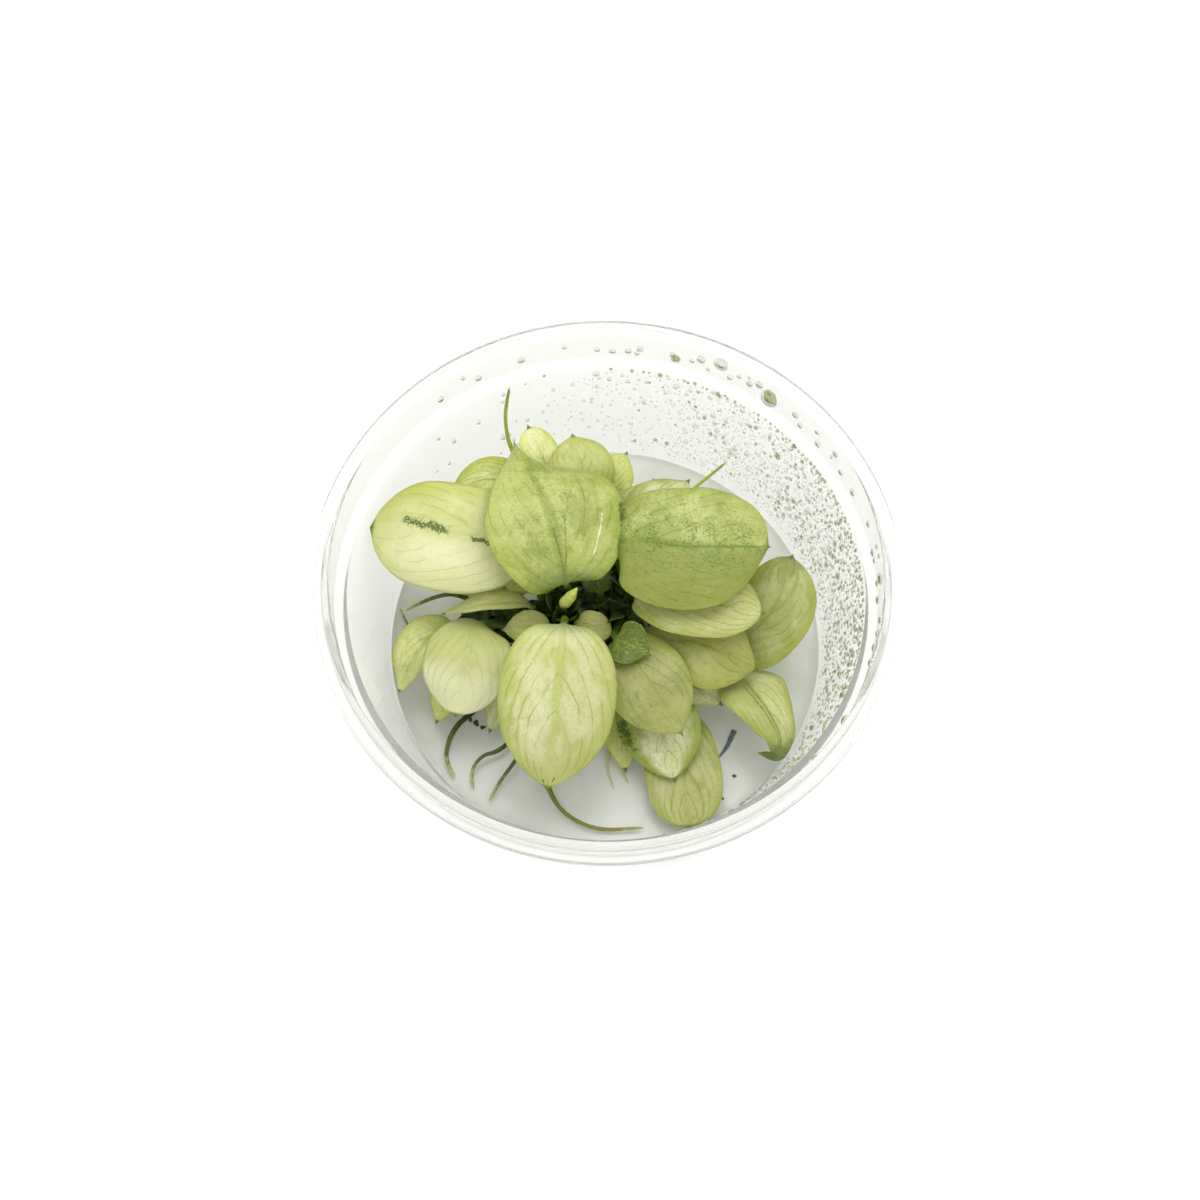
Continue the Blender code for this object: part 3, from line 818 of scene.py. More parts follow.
@dataclass(frozen=True)
class Agar:
    """Set nutrient agar: a cloudy, faintly grey jelly that shows what lies in its upper part."""

    name: str = "nutrient_agar"
    light: str = "#fbfcf7"
    dull: str = "#eef1e8"
    passing: str = "#ffffff"
    cloud_size: float = 12.0
    clearness: float = 0.2
    roughness: float = 0.16
    ior: float = 1.34
    grain_size: float = 3.0
    grain_depth: float = 0.05
    detail: float = 3.0

    def material(self) -> bpy.types.Material:
        """Makes the material."""
        recipe = Recipe(self.name, self.roughness, self.ior)
        place = recipe.add(Node.PLACE)
        cloud = recipe.add(Node.NOISE, place, per_mm(self.cloud_size), self.detail)
        grain = recipe.add(Node.NOISE, place, per_mm(self.grain_size), self.detail)
        cloudy = recipe.add(Node.STEP, cloud, 0.35, 0.65)
        recipe.dress(
            {
                "Base Color": recipe.layered(self.dull, [(cloudy, 1.0, self.light)]),
                "Transmission Weight": self.clearness,
                "Normal": recipe.add(Node.BUMP, grain, self.grain_depth * MM),
            }
        )
        recipe.let_light_in(self.passing)
        return recipe.material


@dataclass(frozen=True)
class Water:
    """Condensed water: clear, smooth and round."""

    name: str = "condensed_water"
    colour: str = "#f2f3ec"
    passing: str = "#eef0ee"
    roughness: float = 0.0
    ior: float = 1.33

    def material(self) -> bpy.types.Material:
        """Makes the material."""
        recipe = Recipe(self.name, self.roughness, self.ior)
        recipe.dress({"Base Color": self.colour, "Transmission Weight": 1.0})
        recipe.let_light_in(self.passing)
        return recipe.material


@dataclass(frozen=True)
class Tint:
    """A broad change of a leaf's colour: its own tone, or on some leaves painted shade and light.

    It comes in from start to stop along the blade, on the side right of the midrib if side is 1, left of
    it if -1 and on both if 0. soft is how gradual it is across the midrib. wander and stray are how far
    noise moves it along and across.
    """

    colour: str
    amount: float = 1.0
    side: int = 0
    start: float = -1.0
    stop: float = -0.9
    soft: float = 0.1
    wander: float = 0.3
    stray: float = 0.06

    def shown(self, recipe: Recipe, on: Masks) -> bpy.types.NodeSocket:
        """Where the tint lies on the leaf."""
        reach = recipe.add(Node.MULTIPLY_ADD, on["broad"], self.wander, on["along"])
        share = recipe.add(Node.STEP, reach, self.start + self.wander / 2, self.stop + self.wander / 2)
        if not self.side:
            return share
        strayed = recipe.add(Node.MULTIPLY, on["fine"], self.stray)
        across = recipe.add(Node.MULTIPLY_ADD, on["across"], self.side, strayed)
        middle = self.stray / 2
        half = recipe.add(Node.STEP, across, middle - self.soft, middle + self.soft)
        return recipe.add(Node.MULTIPLY, share, half)


@dataclass(frozen=True)
class Streak:
    """A ragged narrow mark on a leaf, or a painted highlight: its ends along the blade, how far out, its
    width, lean and colour.
    """

    start: float
    stop: float
    place: float = 0.0
    width: float = 0.13
    lean: float = 0.0
    colour: str = "#4f6a1c"
    amount: float = 0.95

    def shown(self, recipe: Recipe, on: Masks) -> bpy.types.NodeSocket:
        """Where the streak lies on the leaf, broken up by the grain."""
        middle = (self.start + self.stop) / 2
        half = (self.stop - self.start) / 2
        reach = recipe.add(Node.ABSOLUTE, recipe.add(Node.SUBTRACT, on["along"], middle))
        beside = recipe.add(Node.SUBTRACT, on["across"], self.place - self.lean * middle)
        off = recipe.add(Node.ABSOLUTE, recipe.add(Node.MULTIPLY_ADD, on["along"], -self.lean, beside))
        ragged = recipe.add(Node.MULTIPLY_ADD, on["fine"], 5 * self.width, off)
        body = recipe.add(Node.STEP, ragged, 3.7 * self.width, 3.0 * self.width)
        grains = recipe.add(Node.MULTIPLY, body, recipe.add(Node.STEP, on["grain"], 0.3, 0.44))
        return recipe.add(Node.MULTIPLY, recipe.add(Node.STEP, reach, half, half * 0.7), grains)


# The patterns in a leaf's skin, in millimetres. The two finest are a little coarser than on the plant,
# so that they show.
GRAIN_SIZE = 0.32
SPECK_SIZE = 0.38
FINE_SIZE = 0.9
NET_SIZE = 1.4
PATCH_SIZE = 2.6
BROAD_SIZE = 6.0

# How many side veins and finer veins leave each side of the midrib, and how far they sweep forwards
SIDE_VEINS = 4.6
FINER_VEINS = 14.0
VEIN_SWEEP = 0.95


@dataclass(frozen=True)
class LeafFinish:
    """A young anubias leaf: thin, waxy and lit through, with a soft midrib and faint arching side veins.

    mottle, papery, fibres, specks, veins, net, dark_rib, ribbed and outlined are strengths from 0 to 1.
    edge is the share of the half width where the green margin starts, speckled is how far from the midrib
    the specks reach, and green_base is how far up the blade the stalk's green runs.
    """

    name: str
    blade: str = "#c0c37a"
    light: str = "#ebeac6"
    margin: str = "#a9b354"
    rib: str = "#b4c162"
    vein: str = "#949a4a"
    outline: str = "#8c9a3c"
    mottle_colour: str = "#b4bb5b"
    speck_colour: str = "#5f7a16"
    stalk: str = "#4a6415"
    tip: str = "#74862c"
    mottle: float = 0.3
    papery: float = 0.2
    fibres: float = 0.8
    specks: float = 0.0
    speckled: float = 0.45
    veins: float = 0.6
    net: float = 0.12
    ribbed: float = 0.6
    outlined: float = 0.55
    rib_width: float = 0.045
    edge: float = 0.72
    dark_rib: float = 0.0
    green_base: float = 0.12
    tints: tuple[Tint, ...] = ()
    streaks: tuple[Streak, ...] = ()
    roughness: float = 0.3
    ior: float = 1.42
    lit_through: float = 0.2
    relief_depth: float = 0.2

    def masks(self, recipe: Recipe) -> Masks:
        """The place on the leaf, and its patterns from fine to broad, from its own UV maps and place."""
        mapped = recipe.add(Node.MAP, uv_map="leaf")
        own = recipe.add(Node.MOVED, mapped, recipe.add(Node.MAP, uv_map="seed"))
        place = recipe.add(Node.PLACE)
        across = recipe.add(Node.X, mapped)
        long_grain = recipe.add(Node.STRETCHED, own, (9.0, 2.2, 1.0))
        wide_grain = recipe.add(Node.STRETCHED, own, (1.7, 2.0, 1.0))
        on = {
            "across": across,
            "side": recipe.add(Node.ABSOLUTE, across),
            "along": recipe.add(Node.Y, mapped),
            "place": place,
            "grain": recipe.add(Node.NOISE, place, per_mm(GRAIN_SIZE), 2.0),
            "fine": recipe.add(Node.NOISE, place, per_mm(FINE_SIZE), 4.0, 0.65),
            "patch": recipe.add(Node.NOISE, place, per_mm(PATCH_SIZE), 3.0, 0.6),
            "broad": recipe.add(Node.NOISE, place, per_mm(BROAD_SIZE), 4.0, 0.6),
            "fibre": recipe.add(Node.NOISE, long_grain, 1.6, 4.0, 0.6),
            "band": recipe.add(Node.NOISE, wide_grain, 1.6, 2.0, 0.5, 0.6),
        }
        return {**on, **self.rib_mask(recipe, on), **self.vein_masks(recipe, on)}

    def rib_mask(self, recipe: Recipe, on: Masks) -> Masks:
        """Where the midrib lies: narrower towards the tip, a little ragged, and fading out."""
        middle = recipe.add(Node.SUBTRACT, on["side"], 0.06)
        wander = recipe.add(Node.MULTIPLY_ADD, on["fine"], 0.12, middle)
        narrow = recipe.add(Node.MULTIPLY_ADD, on["along"], -0.75 * self.rib_width, self.rib_width)
        line = recipe.add(Node.STEP, recipe.add(Node.SUBTRACT, wander, narrow), 0.07, -0.02)
        drift = recipe.add(Node.MULTIPLY_ADD, on["broad"], 0.5, on["along"])
        return {"rib": recipe.add(Node.MULTIPLY, line, recipe.add(Node.STEP, drift, 1.15, 0.75))}

    def vein_masks(self, recipe: Recipe, on: Masks) -> Masks:
        """Where the side veins, the finer veins, the net and the pale islands between them lie."""
        lean = recipe.add(Node.MULTIPLY, on["across"], 0.05)
        sweep = recipe.add(Node.MULTIPLY_ADD, recipe.add(Node.POWER, on["side"], 1.5), VEIN_SWEEP, lean)
        straight = recipe.add(Node.SUBTRACT, on["along"], sweep)
        bent = recipe.add(Node.MULTIPLY_ADD, on["broad"], 0.22, straight)
        wave = recipe.add(Node.PINGPONG, recipe.add(Node.MULTIPLY, bent, SIDE_VEINS), 0.5)
        finer = recipe.add(Node.PINGPONG, recipe.add(Node.MULTIPLY, bent, FINER_VEINS), 0.5)
        cells = recipe.add(Node.CELLS, on["place"], per_mm(NET_SIZE))
        shown = recipe.add(Node.STEP, on["broad"], 0.4, 0.56)
        between = recipe.add(Node.STEP, wave, 0.04, 0.4)
        return {
            "island": recipe.add(Node.MULTIPLY, between, recipe.add(Node.STEP, on["side"], 0.05, 0.25)),
            "vein": recipe.add(Node.MULTIPLY, recipe.add(Node.STEP, wave, 0.045, 0.005), shown),
            "second": recipe.add(Node.MULTIPLY, recipe.add(Node.STEP, finer, 0.14, 0.0), shown),
            "net": recipe.add(Node.STEP, cells, 0.08, 0.0),
        }

    def skin(self, recipe: Recipe, on: Masks) -> list[Layer]:
        """The blade's pale bands and islands, its margin, its mottles and its tints (some of them painted
        shade), under the veins.
        """
        islands = recipe.add(Node.MULTIPLY, on["island"], recipe.add(Node.STEP, on["patch"], 0.35, 0.6))
        rim = recipe.add(Node.MULTIPLY_ADD, on["broad"], 0.5, on["side"])
        return [
            (recipe.add(Node.STEP, on["band"], 0.36, 0.64), self.fibres, self.light),
            (islands, self.fibres, self.light),
            (recipe.add(Node.STEP, on["fibre"], 0.5, 0.72), 0.12 * self.fibres, self.light),
            (recipe.add(Node.STEP, rim, self.edge + 0.12, self.edge + 0.56), 1.0, self.margin),
            (recipe.add(Node.STEP, on["broad"], 0.44, 0.62), self.mottle, self.mottle_colour),
            (recipe.add(Node.STEP, on["patch"], 0.46, 0.66), self.mottle, self.mottle_colour),
            (recipe.add(Node.STEP, on["fine"], 0.5, 0.72), self.mottle, self.mottle_colour),
            (recipe.add(Node.STEP, on["grain"], 0.46, 0.7), self.papery, self.vein),
            *((tint.shown(recipe, on), tint.amount, tint.colour) for tint in self.tints),
        ]

    def spots(self, recipe: Recipe, on: Masks) -> bpy.types.NodeSocket:
        """Where the dark green specks lie: in loose crowds beside the midrib, and few over the rest."""
        dots = recipe.add(Node.NOISE, on["place"], per_mm(SPECK_SIZE), 2.0)
        near = recipe.add(Node.STEP, on["side"], self.speckled, 0.02)
        crowd = recipe.add(Node.MULTIPLY, recipe.add(Node.STEP, on["patch"], 0.36, 0.62), near)
        return recipe.add(Node.STEP, recipe.add(Node.MULTIPLY_ADD, crowd, 0.17, dots), 0.58, 0.74)

    def dark_line(self, recipe: Recipe, on: Masks) -> bpy.types.NodeSocket:
        """Where the midrib is dark: ragged, and only from a little way up the blade."""
        ragged = recipe.add(Node.MULTIPLY_ADD, on["fine"], 0.06, on["side"])
        line = recipe.add(Node.STEP, ragged, 0.065, 0.03)
        return recipe.add(Node.MULTIPLY, line, recipe.add(Node.STEP, on["along"], 0.1, 0.4))

    def paint(self, recipe: Recipe, on: Masks) -> Input:
        """The leaf's colour: its skin, its veins, its marks, and the green of tip and stalk."""
        layers = [
            *self.skin(recipe, on),
            (on["net"], self.net, self.vein),
            (on["second"], 0.2 * self.veins, self.vein),
            (on["vein"], self.veins, self.vein),
            (recipe.add(Node.STEP, on["side"], 0.93, 0.99), self.outlined, self.outline),
            (on["rib"], self.ribbed, self.rib),
        ]
        if self.specks:
            layers.append((self.spots(recipe, on), self.specks, self.speck_colour))
        if self.dark_rib:
            layers.append((self.dark_line(recipe, on), self.dark_rib, self.speck_colour))
        layers += [(streak.shown(recipe, on), streak.amount, streak.colour) for streak in self.streaks]
        layers.append((recipe.add(Node.STEP, on["along"], 0.975, 1.0), 1.0, self.tip))
        layers.append((recipe.add(Node.STEP, on["along"], self.green_base, -0.06), 1.0, self.stalk))
        return recipe.layered(self.blade, layers)

    def relief(self, recipe: Recipe, on: Masks) -> bpy.types.NodeSocket:
        """The skin's height: sunk at the veins and the midrib, and quilted between them."""
        height = recipe.add(Node.MULTIPLY, on["vein"], -0.35)
        for source, rise in (("rib", -0.7), ("fibre", 0.3), ("band", 1.2), ("patch", 1.2), ("fine", 0.3)):
            height = recipe.add(Node.MULTIPLY_ADD, on[source], rise, height)
        return height

    def material(self) -> bpy.types.Material:
        """Makes the material."""
        recipe = Recipe(self.name, self.roughness, self.ior)
        on = self.masks(recipe)
        recipe.dress(
            {
                "Base Color": self.paint(recipe, on),
                "Subsurface Weight": self.lit_through,
                "Subsurface Radius": (0.9, 1.0, 0.4),
                "Subsurface Scale": 1.0 * MM,
                "Normal": recipe.add(Node.BUMP, self.relief(recipe, on), self.relief_depth * MM),
            }
        )
        return recipe.material


@dataclass(frozen=True)
class StemFinish:
    """A living rhizome: waxy dark green skin, browner where old leaves left their scars."""

    name: str = "rhizome_skin"
    skin: str = "#4d6616"
    shade: str = "#2c3f0c"
    scar: str = "#6f7430"
    scarred: float = 0.6
    scar_spacing: float = SCAR_SPACING
    blotch_size: float = 2.0
    relief_depth: float = 0.2
    roughness: float = 0.42
    ior: float = 1.42

    def material(self) -> bpy.types.Material:
        """Makes the material."""
        recipe = Recipe(self.name, self.roughness, self.ior)
        blotch = recipe.add(Node.NOISE, recipe.add(Node.PLACE), per_mm(self.blotch_size), 4.0)
        along = recipe.add(Node.Y, recipe.add(Node.MAP, uv_map="along"))
        ring = recipe.add(Node.PINGPONG, recipe.add(Node.MULTIPLY, along, 1 / self.scar_spacing), 0.5)
        scar = recipe.add(Node.STEP, ring, 0.1, 0.0)
        layers = (
            (recipe.add(Node.STEP, blotch, 0.4, 0.62), 1.0, self.shade),
            (scar, self.scarred, self.scar),
        )
        height = recipe.add(Node.MULTIPLY_ADD, scar, -1.0, blotch)
        recipe.dress(
            {
                "Base Color": recipe.layered(self.skin, layers),
                "Normal": recipe.add(Node.BUMP, height, self.relief_depth * MM),
            }
        )
        return recipe.material


@dataclass(frozen=True)
class RootFinish:
    """A soft young root: green-brown skin that pales to a cream tip."""

    name: str
    base: str = "#27340b"
    middle: str = "#616b2a"
    tip: str = "#c0c080"
    grain_size: float = 0.8
    grain_depth: float = 0.08
    lit_through: float = 0.15
    roughness: float = 0.5
    ior: float = 1.4

    def material(self) -> bpy.types.Material:
        """Makes the material."""
        recipe = Recipe(self.name, self.roughness, self.ior)
        skin = recipe.add(Node.NOISE, recipe.add(Node.PLACE), per_mm(self.grain_size), 4.0)
        share = recipe.add(Node.X, recipe.add(Node.MAP, uv_map="along"))
        drift = recipe.add(Node.MULTIPLY_ADD, skin, 0.3, share)
        layers = (
            (recipe.add(Node.STEP, drift, 0.62, 0.95), 1.0, self.middle),
            (recipe.add(Node.STEP, drift, 0.95, 1.14), 1.0, self.tip),
        )
        recipe.dress(
            {
                "Base Color": recipe.layered(self.base, layers),
                "Subsurface Weight": self.lit_through,
                "Subsurface Scale": 0.6 * MM,
                "Normal": recipe.add(Node.BUMP, skin, self.grain_depth * MM),
            }
        )
        return recipe.material


# The leaves' finishes, each one a change of another
CREAM = LeafFinish("leaf_cream")
# A darker copy of the cream finish for leaves that lie in shade: painted shade.
SHADED = replace(
    CREAM,
    name="leaf_cream_painted_shade",
    blade="#a8ab5e",
    light="#c5c78f",
    margin="#9ba249",
    vein="#888e3f",
    rib="#9ba349",
)
OLIVE = replace(
    SHADED,
    name="leaf_olive",
    blade="#a3a654",
    light="#b3b66a",
    margin="#9ba245",
    mottle_colour="#92983a",
    vein="#808731",
    rib="#959d43",
    mottle=0.4,
)
WALL_OLIVE = replace(
    OLIVE,
    name="leaf_olive_green",
    blade="#aeb36d",
    light="#c6cb90",
    veins=0.15,
    ribbed=0.3,
    fibres=0.6,
    tints=(Tint("#7f8c48", 0.6, 0, 0.86, 1.0),),
)
MOTTLED = replace(
    CREAM,
    name="leaf_mottled_green_painted_shade",
    blade="#acb458",
    light="#c3c97c",
    margin="#a6b645",
    edge=0.78,
    mottle_colour="#869433",
    rib="#81912f",
    vein="#808f33",
    mottle=0.5,
    veins=0.3,
    specks=0.4,
    speckled=0.8,
    rib_width=0.05,
    green_base=0.16,
    # The second tint darkens the right face of the folded tip: painted shade.
    tints=(Tint("#bdc66f", 0.5, -1, 0.3, 0.5, 0.3), Tint("#869730", 0.5, 1, 0.62, 0.8, 0.1)),
)
# The back leaf's finish keeps the mottled finish's painted shade on the right face of the folded tip.
CREASED_GLINT_AND_SHADE = replace(
    MOTTLED,
    name="leaf_mottled_creased_painted_glint_and_shade",
    streaks=(
        # A thin pale line along the crease of the curled margin: a painted highlight.
        Streak(0.14, 0.38, 0.62, 0.011, 0.5, "#eef2cf", 0.8),
        Streak(0.28, 0.42, 0.95, 0.04, 0.0, "#3f5417"),
        Streak(0.02, 0.36, 0.0, 0.016, -0.1, "#5c7424", 0.8),
        Streak(0.04, 0.42, 0.12, 0.013, 0.35, "#5c7424", 0.7),
    ),
)
SPECKLED = replace(
    MOTTLED,
    name="leaf_speckled_green_painted_shade",
    blade="#b5bc6a",
    light="#c5cb84",
    margin="#a4af4a",
    mottle_colour="#8e9a42",
    mottle=0.6,
    papery=0.35,
    specks=0.75,
    speckled=0.75,
    dark_rib=0.85,
    net=0.3,
    # The first tint darkens the lower, concave half of the blade: painted shade.
    tints=(Tint("#848d36", 0.8, 1, soft=0.2), Tint("#a3ad52", 0.5, -1, 0.5, 1.0, 0.4)),
)
FRESH = replace(
    CREAM,
    name="leaf_fresh_green",
    blade="#bbc16f",
    light="#ccd18b",
    margin="#a3ad48",
    mottle=0.5,
)
DARK = replace(
    CREAM,
    name="leaf_dark_green",
    blade="#5c6c20",
    light="#7e8e39",
    margin="#546715",
    mottle_colour="#4a600f",
    speck_colour="#a4b15b",
    rib="#8a983b",
    vein="#95a147",
    mottle=0.6,
    specks=0.5,
    speckled=1.2,
)
# The near-black green of the inner leaves in the crown's deep shade: painted shade.
INNER_PAINTED_SHADE = replace(
    DARK,
    name="leaf_inner_painted_shade",
    blade="#4a6112",
    light="#5d7420",
    margin="#3a5010",
    specks=0.15,
    veins=0.15,
)
LIME = replace(
    CREAM,
    name="leaf_lime",
    blade="#dae17b",
    light="#eaeea7",
    margin="#c4cf4d",
    mottle_colour="#bac749",
    mottle=0.35,
)
LIME_PALE = replace(LIME, name="leaf_lime_pale", blade="#e6ed8a", light="#f2f6b4")
LIME_BRIGHT = replace(
    LIME,
    name="leaf_bright_lime",
    blade="#e9eb97",
    light="#f1f1bb",
    margin="#cdd659",
    veins=0.2,
)
LIME_YOUNG = replace(
    LIME,
    name="leaf_young_lime",
    blade="#c3c94e",
    light="#d9dc7c",
    margin="#aab83a",
    veins=0.2,
)
STREAKED = replace(
    CREAM,
    name="leaf_cream_streaked",
    blade="#d1d28d",
    light="#e1e1b1",
    margin="#bdc65a",
    rib="#cbd085",
    vein="#b8bc70",
    edge=0.62,
    veins=0.2,
    papery=0.1,
    tints=(
        Tint("#c0c56b", 0.45, 1, soft=0.5),
        Tint("#e9e8bc", 0.6, -1, soft=0.4),
        Tint("#c0c669", 0.6, 0, 0.75, 1.0),
    ),
    streaks=(Streak(0.27, 0.42, -0.05, 0.05, 0.5), Streak(0.52, 0.84, 0.14, 0.085, 0.6)),
)
FRONT = replace(
    CREAM,
    name="leaf_cream_front_painted_shade",
    rib_width=0.05,
    tints=(
        Tint("#b1b46a", 0.45, -1, soft=0.6),
        # The next two tints darken the right half and the end of the blade, where it bends down and away
        # from the light: painted shade.
        Tint("#b4b767", 0.7, 0, 0.55, 0.95),
        Tint("#bec56f", 0.5, 1, 0.6, 0.1, 0.5),
    ),
    streaks=(Streak(0.95, 0.985, 0.3, 0.05), Streak(0.93, 0.97, -0.3, 0.04)),
)
SMOOTH = replace(
    CREAM,
    name="leaf_cream_smooth_painted_shade",
    net=0.0,
    fibres=0.4,
    veins=0.12,
    ribbed=0.12,
    edge=0.9,
    # Darker near the crown and lighter towards the tip: painted shade and painted light.
    tints=(Tint("#b9bf72", 0.75, 0, 0.7, 0.3), Tint("#eceebe", 0.8, 0, 0.45, 0.75)),
)
YELLOWISH = replace(CREAM, name="leaf_cream_yellow", blade="#d2d880", light="#e4e8aa", margin="#b3bd5a")
BROAD = replace(
    SHADED,
    name="leaf_cream_broad",
    fibres=0.5,
    blade="#bbbd70",
    light="#cfd196",
    margin="#a2a957",
)
HALF_GREEN = replace(
    SHADED,
    name="leaf_half_green",
    blade="#bec381",
    light="#cdd198",
    dark_rib=0.9,
    speck_colour="#6a7f27",
    streaks=(Streak(0.2, 0.85, 0.16, 0.02, 0.0, "#526c20", 0.85),),
    tints=(Tint("#9fab51", 0.6, 1, soft=0.1), Tint("#5a6e16", 0.9, 0, 0.74, 0.86)),
)
DARK_MARGINS = replace(
    SHADED,
    name="leaf_dark_margins",
    blade="#e9e9ae",
    light="#f3f3cc",
    margin="#93a442",
    edge=0.55,
    streaks=(
        Streak(0.2, 0.7, 0.84, 0.12, colour="#48650d"),
        Streak(0.1, 0.6, 0.5, 0.16, colour="#9ea84d", amount=0.6),
        Streak(0.72, 0.84, 0.35, 0.1, colour="#eff0d5", amount=0.8),
    ),
)
PAPERY = replace(
    SHADED,
    name="leaf_papery_cream",
    blade="#a4a760",
    light="#b7b97a",
    mottle_colour="#8e9350",
    fibres=0.35,
    veins=0.3,
    mottle=0.5,
    net=0.2,
    papery=0.4,
)

TONES = {
    Slot.PALE: CREAM,
    Slot.MOTTLED: MOTTLED,
    Slot.GREEN: FRESH,
    Slot.DARK: DARK,
    Slot.YELLOW: LIME,
}

# The finish of each leaf that has one of its own
OWN_FINISHES = {
    "leaf_back": CREASED_GLINT_AND_SHADE,
    "leaf_left": STREAKED,
    "leaf_front": FRONT,
    "leaf_round": SMOOTH,
    "leaf_right": SPECKLED,
    "leaf_right_second": BROAD,
    "leaf_right_third": OLIVE,
    "leaf_right_wall": WALL_OLIVE,
    "leaf_hooked": HALF_GREEN,
    "leaf_front_right": PAPERY,
    "leaf_inner_dark": INNER_PAINTED_SHADE,
    "leaf_inner_low": INNER_PAINTED_SHADE,
    "leaf_front_right_second": DARK_MARGINS,
    "leaf_front_low": SHADED,
    "leaf_far_left": YELLOWISH,
    "leaf_left_narrow": BROAD,
    "leaf_crown_left": PAPERY,
    "leaf_crown_right": PAPERY,
    "leaf_rear_left": LIME_PALE,
    "leaf_rear_bright": LIME_BRIGHT,
}


def deselect() -> None:
    """Leaves nothing selected, so an operator acts only on what comes next."""
    for thing in bpy.context.selected_objects:
        thing.select_set(False)


def finish_piece(
    piece: bpy.types.Object, name: str, material: bpy.types.Material, slot: Slot, *nodes: str
) -> None:
    """Names a piece, gives it its material and ties it to the CAD model.

    Args:
        piece: the modelled object.
        name: what the piece is called.
        material: its finish.
        slot: not used.
        *nodes: the CAD nodes that it stands for.
    """
    piece.name = name
    piece.data.name = name
    piece.data.materials.clear()
    piece.data.materials.append(material)
    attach(piece, "root")
    if nodes:
        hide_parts(*nodes)
    log.info("%s: %d faces", name, len(piece.data.polygons))


def turned(profile: Sequence[tuple[float, float]], sides: int) -> bpy.types.Object:
    """Turns a profile about Z: a circle is extruded and resized from ring to ring, and its ends closed.

    Args:
        profile: radius and height of each ring, in millimetres.
        sides: how many faces go round.

    Returns:
        The object, at the origin.
    """
    deselect()
    radius, height = profile[0]
    bpy.ops.mesh.primitive_circle_add(vertices=sides, radius=radius * MM, location=(0, 0, height * MM))
    bpy.ops.object.transform_apply(location=True, rotation=True, scale=True)
    bpy.ops.object.mode_set(mode="EDIT")
    bpy.ops.mesh.select_mode(type="EDGE")
    bpy.ops.mesh.select_all(action="SELECT")
    for next_radius, next_height in profile[1:]:
        rise = (next_height - height) * MM
        bpy.ops.mesh.extrude_edges_move(TRANSFORM_OT_translate={"value": (0, 0, rise)})
        share = next_radius / radius
        bpy.ops.transform.resize(value=(share, share, 1), center_override=(0, 0, next_height * MM))
        radius, height = next_radius, next_height
    bpy.ops.mesh.select_all(action="SELECT")
    bpy.ops.mesh.fill_holes(sides=0)
    bpy.ops.mesh.normals_make_consistent(inside=False)
    bpy.ops.object.mode_set(mode="OBJECT")
    bpy.ops.object.shade_smooth_by_angle(angle=SHARP_ANGLE)
    return bpy.context.object


def rounded(corners: Sequence[tuple[float, float, float]], steps: int = 4) -> list[tuple[float, float]]:
    """Rounds the corners of a profile.

    Args:
        corners: radius, height and rounding of each corner, in millimetres.
        steps: how many points each rounding gets.

    Returns:
        Radius and height of each point.
    """
    line = [corners[0][:2]]
    for (x0, z0, _), (x1, z1, size), (x2, z2, _) in zip(corners, corners[1:], corners[2:]):
        if size == 0:
            line.append((x1, z1))
            continue
        before = math.hypot(x0 - x1, z0 - z1)
        after = math.hypot(x2 - x1, z2 - z1)
        back = min(size, before * ROUNDING_ROOM) / before
        on = min(size, after * ROUNDING_ROOM) / after
        start = (x1 + (x0 - x1) * back, z1 + (z0 - z1) * back)
        stop = (x1 + (x2 - x1) * on, z1 + (z2 - z1) * on)
        bend = (start, (x1, z1), stop)
        for t in np.linspace(0, 1, steps):
            weights = ((1 - t) ** 2, 2 * t * (1 - t), t * t)
            line.append(tuple(sum(w * p[i] for w, p in zip(weights, bend)) for i in (0, 1)))
    return [*line, corners[-1][:2]]


def tube(points: np.ndarray, maps: dict[str, np.ndarray]) -> bpy.types.Object:
    """Rolls a grid into a closed tube whose rings are given.

    Args:
        points: a point in millimetres for each row and each place round the ring.
        maps: for each UV map, two numbers for each of the same places, with the first repeated last.

    Returns:
        The object, at the origin.
    """
    rows, ring = points.shape[0] - 1, points.shape[1]
    deselect()
    bpy.ops.mesh.primitive_grid_add(x_subdivisions=rows, y_subdivisions=ring, size=2)
    piece = bpy.context.object
    mesh = piece.data
    flat = np.zeros(len(mesh.vertices) * 3)
    mesh.vertices.foreach_get("co", flat)
    flat = flat.reshape(-1, 3)
    row = np.rint((flat[:, 0] + 1) / 2 * rows).astype(int)
    turn = np.rint((flat[:, 1] + 1) / 2 * ring).astype(int)
    corner = np.zeros(len(mesh.loops), int)
    mesh.loops.foreach_get("vertex_index", corner)
    mesh.uv_layers.remove(mesh.uv_layers[0])
    for name, values in maps.items():
        layer = mesh.uv_layers.new(name=name)
        layer.uv.foreach_set("vector", values[row[corner], turn[corner]].ravel())
    mesh.vertices.foreach_set("co", (points[row, turn % ring] * MM).ravel())
    mesh.update()
    bpy.ops.object.mode_set(mode="EDIT")
    bpy.ops.mesh.select_all(action="SELECT")
    bpy.ops.mesh.remove_doubles(threshold=SAME_PLACE)
    bpy.ops.mesh.fill_holes(sides=0)
    bpy.ops.mesh.normals_make_consistent(inside=False)
    bpy.ops.object.mode_set(mode="OBJECT")
    bpy.ops.object.shade_smooth()
    return piece


def unit(vector: np.ndarray) -> np.ndarray:
    """The vector at length one."""
    vector = np.asarray(vector, float)
    return vector / np.linalg.norm(vector)


def travelled(line: np.ndarray) -> np.ndarray:
    """The distance along a line to each of its points."""
    return np.concatenate([[0], np.cumsum(np.linalg.norm(np.diff(line, axis=0), axis=1))])


